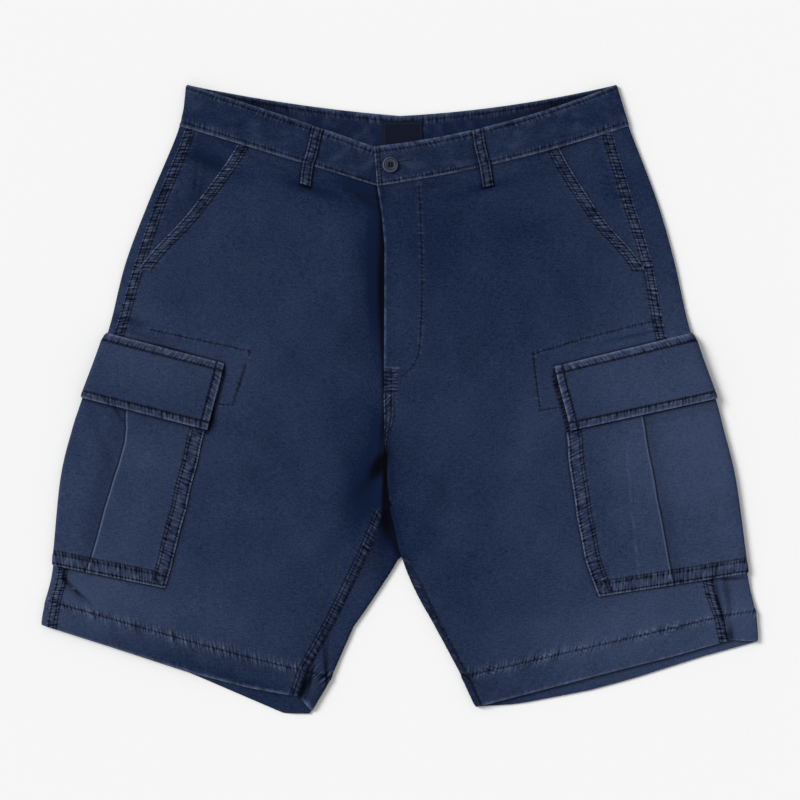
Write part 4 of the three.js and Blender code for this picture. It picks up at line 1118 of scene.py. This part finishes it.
# The waistband's grid goes from the middle of the back round the outer fold to the fly's end;
# its inner face, which shows above the front, has stitches and painted shade of its own, darkest
# near the outer folds below its top edge, and a painted shade tone a quarter darker all over
def bandPart(half):
    rows = rowsFor(half, 0, waistAt - 0.002, 1.1)[:, None]
    s = sectionAt(half, rows[:, 0])
    radius = foldRadius(half, s)
    quarter, bend = radius * (math.pi / 2 - 1), radius * math.pi / 2
    end = s["frontLength"] + (30 if half["side"] < 0 else 0) + quarter
    columns = columnsFor([-(s["backLength"] + quarter), -bend, bend, end - 12, end], [1.4, 0.9, 1.4, 1.0])
    seed = 100 if half["side"] < 0 else 120
    relief = bandRelief(half, rows, columns, end[:, None], seed)
    inside = Relief(columns.shape)
    down = downAt(half, rows) + 0 * columns
    inside.edge(down, along=columns, seed=seed, wearAndHighlight=0.8, drop=0.5, reach=1.6)
    inside.stitching(down - 4.6, columns, seed + 1, ripple=0.16, reach=3.4)
    inside.stitching(downAt(half, waistAt) - down - 3.0, columns, seed + 4, ripple=0.16, reach=3)
    puckers = noise(columns, down, 8, seed + 7)
    inside.height += 0.25 * puckers
    inside.wearAndHighlight += 0.12 * np.clip(puckers, 0, 1)
    fromFold = np.abs(columns) - bend[:, None]
    # Painted shade in the gap behind the front band, darkest near the outer folds and below the top edge
    inside.shade += 0.08 + 0.95 * (1 - smooth(45, 140, fromFold)) * smooth(-2, 6, down)
    outer = skin(half, rows, columns, cloth["bandRaise"] + relief.height)
    inner = skin(half, rows, columns, cloth["bandRaise"] - cloth["bandWall"] - inside.height)
    sRows = sectionAt(half, rows)
    values, insideValues = relief.values(sRows, columns), inside.values(sRows, columns)
    # The inner face's painted shade tone, a quarter darker
    values["tone"], insideValues["tone"] = 0 * columns, 0 * columns - 0.25
    half["cuts"]["waistband"] = flatCut(half, rows, columns)
    return {"outer": outer, "inner": inner, "every": 1, "values": values, "insideValues": insideValues}


for half in halves:
    sewPiece("waistband", bandPart, half)
print("waistband ready")


# How far a facing sinks under the front, by the share of the way from seam to pocket edge
def facingDip(s, inward):
    return 1.5 * smooth(0.2, 0.85, (inward - s["seamIn"]) / (s["pocketIn"] - s["seamIn"]))


# A facing: the side seam's band and rows, pulled in at the waist, sunk by its dip, with painted shade
# under the waist seam
def facingRelief(half, at, inward):
    at, inward = np.broadcast_arrays(np.asarray(at, float), np.asarray(inward, float))
    s = sectionAt(half, at)
    r = Relief(at.shape)
    down, seed = s["down"], 150 if half["side"] < 0 else 160
    r.seam(inward - s["seamIn"], down, frontSeams["side"], seamRows["side"], seed, ripple=0.45)
    fromWaist = down - downAt(half, waistAt)
    r.height += 0.3 * np.exp(-fromWaist / 3.2) * ladder(inward, down, seed + 4, 7)
    r.shade += 0.55 * np.exp(-(fromWaist / 1.8) ** 2)
    r.height -= facingDip(s, inward)
    return r, s


# A facing's grid: from the side seam to 14 mm under the front's slanted edge
def facingPart(half):
    rows = rowsFor(half, waistAt + 0.002, pocketFootAt - 0.01, 1.3)[:, None]
    s = sectionAt(half, rows[:, 0])
    start = s["seamIn"] + cloth["gap"] / 2
    columns = columnsFor([start, start + 10, np.maximum(s["pocketIn"], start + 10.5) + 14], [1.1, 1.8])
    relief, s = facingRelief(half, rows, columns)
    outer = topPoint(half, rows, columns, relief.height)
    inner = topPoint(half, rows, columns, -facingDip(s, columns) - cloth["wall"])
    half["cuts"]["hip_pocket_facing"] = flatCut(half, rows, columns)
    return {"outer": outer, "inner": inner, "values": relief.values(s, columns)}


for half in halves:
    sewPiece("hip_pocket_facing", facingPart, half)
print("facings ready")

pocketCloth = {"border": 13.5, "mouth": 4.12, "pleat": 1.0}


# A cargo pocket: a double-stitched border at its inner and lower edges, and the pleat's edge, with a
# painted shadow under the flap and painted shade beside the pleat's fold
def pocketRelief(half, at, round):
    at, round = np.broadcast_arrays(np.asarray(at, float), np.asarray(round, float))
    s = sectionAt(half, at)
    r = Relief(at.shape)
    down, seed = s["down"], 180 if half["side"] < 0 else 200
    quarter = foldRadius(half, s) * (math.pi / 2 - 1)
    fromEdge = lookUp(half["pocketReach"], at) + quarter - round
    fromFoot = downAt(half, pocketEndAt) - down
    width = pocketCloth["border"]
    r.edge(fromEdge, along=down, seed=seed, wearAndHighlight=1.0, drop=0.6, reach=1.5)
    r.edge(fromFoot, along=round, seed=seed + 1, wearAndHighlight=1.0, drop=0.6, reach=1.5)
    for distance, along, number in ((fromEdge, down, 2), (fromFoot, round, 30)):
        corner = smooth(0, 3, fromEdge if number == 30 else fromFoot)
        r.seam(distance, along, width, (2.4, width - 1.6), seed + number, corner, lift=0.25, ripple=0.42,
               reach=3.4, wearAndHighlight=0.95, slant=0.2)
    under = down - downAt(half, flapFootAt)
    r.shade += contactShadow(under, 2.4, 0.95)
    pleat = round - (lookUp(half["pleat"], at) + quarter)
    most = pocketCloth["pleat"] * (0.4 + 0.6 * smooth(5, 5.15, at))
    r.height += most * smooth(-0.4, 0.4, pleat) * (1 - smooth(1, 45, pleat))
    r.wearAndHighlight += 0.9 * np.exp(-((pleat - 0.6) / 0.8) ** 2)
    r.shade += 0.8 * np.exp(-((pleat + 0.9) / 0.8) ** 2)
    r.shade += 0.25 * smooth(-24, -2, pleat) * (pleat < 0)
    stations, places, amount = half["pressed"]
    r.wearAndHighlight += amount * np.exp(-((pleat - np.interp(at, stations, places)) / 0.8) ** 2) * smooth(5.4, 6.5, at)
    return r, s


# A cargo pocket's grid: from under the leg round the outer fold to the pocket's inner edge, with
# fine columns at the pleat and the border
def pocketPart(half):
    rows = rowsFor(half, pocketCloth["mouth"], pocketEndAt, 1.25)[:, None]
    s = sectionAt(half, rows[:, 0])
    radius = foldRadius(half, s)
    quarter, bend = radius * (math.pi / 2 - 1), radius * math.pi / 2
    end = lookUp(half["pocketReach"], rows[:, 0]) + quarter
    pleat = lookUp(half["pleat"], rows[:, 0]) + quarter
    columns = columnsFor([-(half["under"] + quarter), -bend, bend, pleat - 3, pleat + 3, end - 17, end],
                         [2.4, 0.8, 2, 0.6, 2, 1.1])
    relief, s = pocketRelief(half, rows, columns)
    outer = skin(half, rows, columns, 1.5 + relief.height)
    inner = skin(half, rows, columns, 0.3 + 0 * relief.height)
    half["cuts"]["cargo_pocket"] = flatCut(half, rows, columns)
    return {"outer": outer, "inner": inner, "values": relief.values(s, columns)}


# A flap: sewn along its top, with a line of stitches inside its edges and puckers between
def flapRelief(half, at, round):
    at, round = np.broadcast_arrays(np.asarray(at, float), np.asarray(round, float))
    s = sectionAt(half, at)
    r = Relief(at.shape)
    down, seed = s["down"], 240 if half["side"] < 0 else 260
    quarter = foldRadius(half, s) * (math.pi / 2 - 1)
    fromEdge = lookUp(half["flapReach"], at) + quarter - round
    fromTop, fromFoot = down - downAt(half, flapTopAt), downAt(half, flapFootAt) - down
    for distance, along, number in ((fromEdge, down, 0), (fromTop, round, 6), (fromFoot, round, 12)):
        r.edge(distance, along=along, seed=seed + number, wearAndHighlight=1.0, drop=0.7, reach=1.8)
        r.seam(distance, along, 7, (7,), seed + number + 1, lift=0.15, ripple=0.24, reach=2.4, wearAndHighlight=0.8)
    return r, s


# A flap's grid: like its pocket's, lifted clear of it below the pocket's mouth
def flapPart(half):
    rows = rowsFor(half, flapTopAt, flapFootAt, 1.1)[:, None]
    s = sectionAt(half, rows[:, 0])
    radius = foldRadius(half, s)
    quarter, bend = radius * (math.pi / 2 - 1), radius * math.pi / 2
    end = lookUp(half["flapReach"], rows[:, 0]) + quarter
    columns = columnsFor([-(half["under"] + quarter), -bend, bend, end - 12, end], [1.8, 0.8, 1.4, 0.9])
    relief, s = flapRelief(half, rows, columns)
    base = lookUp(flapInner, rows) + 0 * columns
    outer = skin(half, rows, columns, base + cloth["flapWall"] + relief.height)
    inner = skin(half, rows, columns, base)
    half["cuts"]["cargo_flap"] = flatCut(half, rows, columns)
    return {"outer": outer, "inner": inner, "values": relief.values(s, columns)}


for half in halves:
    sewPiece("cargo_pocket", pocketPart, half)
    sewPiece("cargo_flap", flapPart, half)
print("cargo pockets ready")


# A belt loop: a strip arched across its width, with two rows of stitches and a ladder between, with
# painted shade over it and in the ladder's hollows
def loopPart(half):
    stations, places, heights = loopPlaces[half["name"]]
    rows = rowsFor(half, stations[0], stations[-1], 0.9)[:, None]
    across = np.linspace(0, loopStrip["width"], 17)[None, :]
    down = downAt(half, rows) + 0 * across
    across = across + 0 * rows
    inward = np.interp(rows, stations, places) + across
    low = np.interp(rows, stations, heights)
    r = Relief(across.shape)
    seed = 300 if half["side"] < 0 else 310
    r.edge(across, along=down, seed=seed, wearAndHighlight=0.6, drop=0.5, reach=1.0)
    r.edge(loopStrip["width"] - across, along=down, seed=seed + 1, wearAndHighlight=0.6, drop=0.5, reach=1.0)
    for number, row in enumerate(loopStrip["rows"]):
        r.stitching(across - row, down, seed + 2 + number * 3, ripple=0.2, reach=2.2, period=4.6)
    rungs = ladder(down, across, seed + 12, 4.6)
    r.wearAndHighlight += 0.75 * np.clip(rungs, 0, 1)
    r.shade += 0.16 + 0.75 * np.clip(-rungs, 0, 1)
    ends = np.minimum(down - down[0, 0], down[-1, 0] - down)
    r.wearAndHighlight += 0.9 * np.exp(-(ends / 2.2) ** 2) * (0.7 + 0.5 * noise(across, down, 1.6, seed + 8))
    r.height += 0.5 * np.sin(math.pi * across / loopStrip["width"]) * smooth(0, 6, ends)
    outer = topPoint(half, rows, inward, low + loopStrip["wall"] + r.height)
    inner = topPoint(half, rows, inward, low)
    s = sectionAt(half, rows)
    half["cuts"]["belt_loop"] = flatCut(half, rows, inward)
    return {"outer": outer, "inner": inner, "values": r.values(s, inward)}


for half in halves:
    sewPiece("belt_loop", loopPart, half)
print("belt loops ready")

labelPatch = {"x": 2.5, "y": 266, "width": 41, "height": 26, "low": 2.3, "wall": 0.8}
labelWeave = {"dark": (0.0022, 0.0038, 0.0120, 1), "mid": (0.0062, 0.0088, 0.0215, 1), "rib": 1.2, "end": 0.9,
              "border": (0.0170, 0.0225, 0.0440, 1), "borderIn": 2.2}


# Woven label: ribs along it and finer ends across them, with noise, and a faint plain border
def makeLabelWeave():
    c, d = labelWeave, labelPatch
    bench = Bench("labelWeave", Roughness=0.6, Specular_IOR_Level=0.06)
    place = bench.value("cloth", "Vector")
    parts = bench.node("ShaderNodeSeparateXYZ", inputs={0: place})
    grain = bench.noise(place, 1.4, 3)
    waves = [bench.wave(parts["Y"], c["rib"]), bench.wave(parts["X"], c["end"])]
    level = waves[0] * 0.3 + waves[1] * 0.25 + (grain - 0.5) * 0.9 + 0.25
    lines = []
    for axis, middle, size in (("X", d["x"], d["width"]), ("Y", d["y"], d["height"])):
        out = (parts[axis] - middle).maths("ABSOLUTE", parts[axis] - middle)
        lines.append(size / 2 - c["borderIn"] - out)
    inside = lines[0].maths("MINIMUM", *lines)
    line = inside.maths("ABSOLUTE", inside).maths("LESS_THAN", inside.maths("ABSOLUTE", inside), 0.35)
    blue = bench.mix(level, c["dark"], c["mid"])
    blue = bench.mix(line * (grain * 0.6 + 0.2), blue, c["border"])
    return bench.finish(Base_Color=blue, Normal=bench.bump(waves[0] + waves[1] * 0.6, 0.3, 0.0002))


labelMaterial = makeLabelWeave()


# A plain woven label: a thin patch with rounded edges, on the inside of the back waistband
def makeLabel():
    d = labelPatch
    u, v = np.linspace(-0.5, 0.5, 57)[None, :], np.linspace(-0.5, 0.5, 37)[:, None]
    x, y = d["x"] + u * d["width"] + 0 * v, d["y"] + v * d["height"] + 0 * u
    edge = np.minimum((0.5 - np.abs(u)) * d["width"], (0.5 - np.abs(v)) * d["height"])
    z = d["low"] + d["wall"] - 0.45 * np.exp(-(edge / 0.7) ** 2) - 0.12 * np.exp(-((edge - 2) / 0.5) ** 2)
    z = z + 0.06 * np.sin(2 * math.pi * y / 1.2) * smooth(2.5, 3, edge)
    outer = np.stack([x, y, z], -1)
    inner = np.stack([x, y, 0 * x + d["low"]], -1)
    values = {"cloth": np.stack([x, y, 0 * x], -1)}
    return makeShell("label_cloth", [{"outer": outer, "inner": inner, "values": values}], labelMaterial)


label = makeLabel()
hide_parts("label")

buttonHole = {"from": 8.5, "to": 31.5, "loops": 30, "reach": 2.4, "down": 17.4}
buttonDisc = {"x": -9.5, "y": 234.9, "radius": 8, "height": 3.0, "dish": 0.9,
              "hole": 1.0, "holeOut": 1.9, "low": 7.7}


# Slate plastic: dark, paler by the wear and highlight value, a painted highlight on the rims, with faint cloudy
# mottling
def makePlastic():
    bench = Bench("slatePlastic", Roughness=0.55, Specular_IOR_Level=0.3)
    place = bench.node("ShaderNodeTexCoord")["Object"]
    cloud, wearAndHighlight = bench.noise(place, 420, 3), bench.value("wearAndHighlight")
    level = wearAndHighlight * 0.9 + (cloud - 0.5) * 0.25
    return bench.finish(Base_Color=bench.mix(level, (0.0110, 0.0165, 0.0330, 1), (0.095, 0.118, 0.170, 1)))


plastic = makePlastic()


# The button: height by distance from its middle, with a rounded rim, a ring inside it, a dish
# and four wells, closed below by a flat disc
def makeButton():
    d = buttonDisc
    out = np.concatenate([np.linspace(0, 4.2, 40), np.linspace(4.2, d["radius"], 26)[1:]])
    angle = np.linspace(0, 2 * math.pi, 145)[:-1]
    r, a = np.meshgrid(out, angle, indexing="ij")
    lip = np.sqrt(np.clip(1 - ((r - 6.9) / 1.1) ** 2, 0, 1))
    z = d["height"] - d["dish"] + d["dish"] * np.where(r > 6.9, lip, np.exp(-((r - 6.9) / 0.75) ** 2))
    z = z - (d["height"] - 0.9) * (1 - lip) * (r > 6.9)
    z = z + 0.22 * np.exp(-((r - 4.6) / 0.45) ** 2)
    for k in range(4):
        turn = math.pi / 4 + k * math.pi / 2
        wellX, wellY = d["holeOut"] * math.cos(turn), d["holeOut"] * math.sin(turn)
        gap = np.hypot(r * np.cos(a) - wellX, r * np.sin(a) - wellY)
        z = z - 1.7 * (1 - smooth(d["hole"] - 0.25, d["hole"] + 0.15, gap))
    x, y = d["x"] + r * np.cos(a), d["y"] + r * np.sin(a)
    # A painted highlight on the rim, strongest on the lower left, and on the ring inside it toward the upper right
    facing = np.clip(0.75 - 0.5 * np.cos(a - 0.6), 0, 1)
    paintedRimHighlight = np.exp(-((r - 7.1) / 0.55) ** 2) * facing + 0.6 * np.exp(-((r - 4.7) / 0.5) ** 2) * (1.2 - facing)
    n, m = x.shape
    points = np.stack([x, y, d["low"] + z], -1)
    ring, k = np.arange(n * m).reshape(n, m), np.arange(m)
    quads = np.stack([ring[1:-1][:, k], ring[2:][:, k], ring[2:][:, (k + 1) % m], ring[1:-1][:, (k + 1) % m]], -1)
    flat = points.reshape(-1, 3)
    middle = np.stack([np.zeros(m, int), ring[1], ring[1][(k + 1) % m]], -1)
    foot = flat[ring[-1]] * [1, 1, 0] + [0, 0, d["low"]]
    corners = np.concatenate([flat, foot])
    base = n * m + k
    wall = np.stack([ring[-1], base, n * m + (k + 1) % m, ring[-1][(k + 1) % m]], -1)
    paintedRimHighlight = np.concatenate([paintedRimHighlight.ravel(), np.zeros(m)])
    faces = [quads.reshape(-1, 4), middle, wall, base[None, ::-1]]
    used = np.zeros(len(corners), bool)
    for f in faces:
        used[f.ravel()] = True
    places = np.cumsum(used) - 1
    faces = [places[f] for f in faces]
    return makeMesh("button_disc", corners[used], faces, {"wearAndHighlight": paintedRimHighlight[used]}, plastic, 40)


button = makeButton()
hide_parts("button")

# The button's thread: two thick bars of it through the four wells
d = buttonDisc
wells = d["holeOut"] / math.sqrt(2)
top = d["low"] + d["height"] - d["dish"]
sides = (-1, -1, 1, 1)
ends = [np.array([[d["x"] + side * wells, d["y"] + end * (wells + 0.9), top] for side in sides])
        for end in (-1, 1)]
for row in ends:
    row[1::2, 0] += 0.45
buttonThread = makeStitches("button_thread", [ends], threadMaterial, 0.42)
print("button and label ready")


# Stations at distances down the middle of a half
def stationAt(half, down):
    return np.interp(down, half["downs"], half["stations"])


# A row of stitches along the centre seam, at a share of its width from the edge
def centreRow(half, surface, row):
    y = np.linspace(30, -50, 160)
    at = locate(half, np.stack([-15 + 0 * y, y], -1))[0]
    return stitchRow(surface, at, sectionAt(half, at)["frontLength"] - row * centreWidth(y) / 9)


# Lines of stitches for a half, by the piece that they are sewn in. Each is a row of places
# down the leg, or round it, on the surface of that piece.
def stitchLines(half):
    onFront = frontSurface(half)
    lines = {"front": [], "hip_pocket_facing": [], "back": [], "waistband": [], "cargo_pocket": [],
             "cargo_flap": [], "belt_loop": []}
    down = lambda start, end, count=700: np.linspace(start, end, count)
    at = down(1.03, 2.98)
    for row in seamRows["slant"]:
        lines["front"].append(stitchRow(onFront, at, sectionAt(half, at)["pocketIn"] + row))
    for start, end in ((3.02, 3.97), (8.03, 9.94)):
        at = down(start, end)
        for row in seamRows["side"]:
            lines["front"].append(stitchRow(onFront, at, sectionAt(half, at)["seamIn"] + row))
    at = down(6.15, 9.93)
    for row in seamRows["inner"] if half["side"] < 0 else ():
        lines["front"].append(stitchRow(onFront, at, sectionAt(half, at)["frontLength"] - row))
    if half["side"] > 0:
        for row in (2.2, 7.4):
            lines["front"].append(centreRow(half, onFront, row))
        lines["front"].append(stitchRow(onFront, *locate(half, curveThrough(flyLine, 300))))
    for line in patchLines[half["name"]]:
        lines["front"].append(stitchRow(onFront, *locate(half, fineLine(line, 160))))
    hemRow = stationAt(half, downAt(half, hemAt) - half["hemWidth"] + 1.8)
    s = sectionAt(half, hemRow)
    across = down(s["seamIn"] + 10, s["frontLength"] - 8)
    lines["front"].append(stitchRow(onFront, hemRow + 0 * across, across))

    at = down(1.03, 2.97)
    onFacing = lambda at, inward: topPoint(half, at, inward, facingRelief(half, at, inward)[0].height)
    for row in seamRows["side"]:
        lines["hip_pocket_facing"].append(stitchRow(onFacing, at, sectionAt(half, at)["seamIn"] + row))

    radius = foldRadius(half, s)
    across = down(s["seamIn"] - 1 + radius * (math.pi / 2 - 1), -120)
    seed = 70 if half["side"] < 0 else 80
    onBack = lambda at, round: skin(half, at, round, backRelief(half, at, round, seed).height)
    lines["back"].append(stitchRow(onBack, hemRow + 0 * across, across))
    if half["side"] < 0:
        at = down(1.03, 5.8)
        for row in seamRows["seat"]:
            round = row - roundAt(half, at, sectionAt(half, at)["backLength"])
            lines["back"].append(stitchRow(onBack, at, round))

    width = downAt(half, waistAt)
    seed = 100 if half["side"] < 0 else 120
    lap = 30 if half["side"] < 0 else 0
    bandEnd = lambda at: roundAt(half, at, sectionAt(half, at)["frontLength"] + lap)
    bandHigh = lambda at, round: cloth["bandRaise"] + bandRelief(half, at, round, bandEnd(at), seed).height
    onBand = lambda at, round: skin(half, at, round, bandHigh(at, round))
    for row in (4.6, width - 3.8):
        at = stationAt(half, row)
        across = down(-200, float(bandEnd(at)) - 1.5)
        lines["waistband"].append(stitchRow(onBand, at + 0 * across, across))
    if half["side"] > 0:
        at = down(0.04, 0.96)
        for row in (1.8, 5.2):
            lines["waistband"].append(stitchRow(onBand, at, bandEnd(at) - row))

    onPocket = lambda at, round: skin(half, at, round, 1.5 + pocketRelief(half, at, round)[0].height)
    for row in (2.4, pocketCloth["border"] - 1.6):
        at = down(pocketCloth["mouth"] + 0.9, stationAt(half, downAt(half, pocketEndAt) - row))
        lines["cargo_pocket"].append(stitchRow(onPocket, at, roundAt(half, at, lookUp(half["pocketReach"], at)) - row))
        at = at[-1:]
        across = down(float(roundAt(half, at, lookUp(half["pocketReach"], at))[0]) - row, -half["under"])
        lines["cargo_pocket"].append(stitchRow(onPocket, at + 0 * across, across))

    flapHigh = lambda at, round: lookUp(flapInner, at) + cloth["flapWall"] + flapRelief(half, at, round)[0].height
    onFlap = lambda at, round: skin(half, at, round, flapHigh(at, round))
    start, end = stationAt(half, downAt(half, flapTopAt) + 7), stationAt(half, downAt(half, flapFootAt) - 7)
    at = down(start, end)
    lines["cargo_flap"].append(stitchRow(onFlap, at, roundAt(half, at, lookUp(half["flapReach"], at)) - 7))
    for at in (start, end):
        across = down(float(roundAt(half, at, lookUp(half["flapReach"], at))) - 7, -half["under"])
        lines["cargo_flap"].append(stitchRow(onFlap, at + 0 * across, across))

    stations, places, heights = loopPlaces[half["name"]]
    at = down(stations[0] + 0.03, stations[-1] - 0.03, 300)
    for row in loopStrip["rows"]:
        onLoop = lambda at, inward: topPoint(half, at, inward, np.interp(at, stations, heights) + 1.62)
        lines["belt_loop"].append(stitchRow(onLoop, at, np.interp(at, stations, places) + row, 2.8))
    return lines


# Loops of paler thread square to the buttonhole's slit, on both sides of it
def buttonholeRow():
    half, d = leftHalf, buttonHole
    end = lambda at: roundAt(half, at, sectionAt(half, at)["frontLength"])
    place = np.repeat(np.linspace(d["from"], d["to"], d["loops"]), 2)
    side = np.tile([-1.0, 1.0], d["loops"])
    ends = []
    for reach in (0.35, d["reach"]):
        at = stationAt(half, d["down"] + side * reach)
        round = end(at) - place
        height = cloth["bandRaise"] + bandRelief(half, at, round, end(at), 120).height
        ends.append(skin(half, at, round, height))
    return ends


# Points evenly along a line of straight stretches
def fineLine(points, count):
    points = np.asarray(points, float)
    run = np.concatenate([[0], np.cumsum(np.linalg.norm(np.diff(points, axis=0), axis=1))])
    place = np.linspace(0, run[-1], count)
    return np.stack([np.interp(place, run, points[:, k]) for k in range(2)], -1)


# Each piece's stitches, on its own surface
for half in halves:
    rows = stitchLines(half)
    for kind, piece in half["pieces"].items():
        threads = makeStitches(kind + "_" + half["name"] + "_stitches", rows[kind], threadMaterial)
loops = makeStitches("buttonhole_stitches", [buttonholeRow()], paleThread, 0.26)
print("stitches ready")

studio = {"sun": 2.66, "sunAngle": 26, "sunFrom": (-1.0, 0.5, 0.95), "world": 0.48,
          "paper": (0.90, 0.90, 0.90, 1), "lens": 108, "height": 2.405, "below": -0.0004, "reach": 4}


# A pale sheet of paper, a wide soft sun from the upper left and an even room
def makeStudio():
    mesh = bpy.data.meshes.new("paleFloor")
    r, z = studio["reach"], studio["below"]
    mesh.from_pydata([(-r, -r, z), (r, -r, z), (r, r, z), (-r, r, z)], [], [(0, 1, 2, 3)])
    paper = Bench("palePaper", Base_Color=studio["paper"], Roughness=1.0, Specular_IOR_Level=0.0)
    mesh.materials.append(paper.finish())
    floor = bpy.data.objects.new("paleFloor", mesh)
    light = bpy.data.lights.new("softSun", "SUN")
    light.energy, light.angle = studio["sun"], math.radians(studio["sunAngle"])
    sun = bpy.data.objects.new("softSun", light)
    sun.rotation_euler = Vector(studio["sunFrom"]).to_track_quat("Z", "Y").to_euler()
    lens = bpy.data.cameras.new("overhead")
    lens.lens, lens.sensor_width = studio["lens"], 36
    camera = bpy.data.objects.new("overhead", lens)
    camera.location = (0, 0, studio["height"])
    for thing in (floor, sun, camera):
        bpy.context.scene.collection.objects.link(thing)
    world = bpy.data.worlds.new("paleRoom")
    world.use_nodes = True
    sky = world.node_tree.nodes["Background"]
    sky.inputs["Color"].default_value = (1, 1, 1, 1)
    sky.inputs["Strength"].default_value = studio["world"]
    bpy.context.scene.world = world
    bpy.context.scene.camera = camera
    bpy.context.scene.view_settings.view_transform = "Standard"


makeStudio()
print("studio ready")
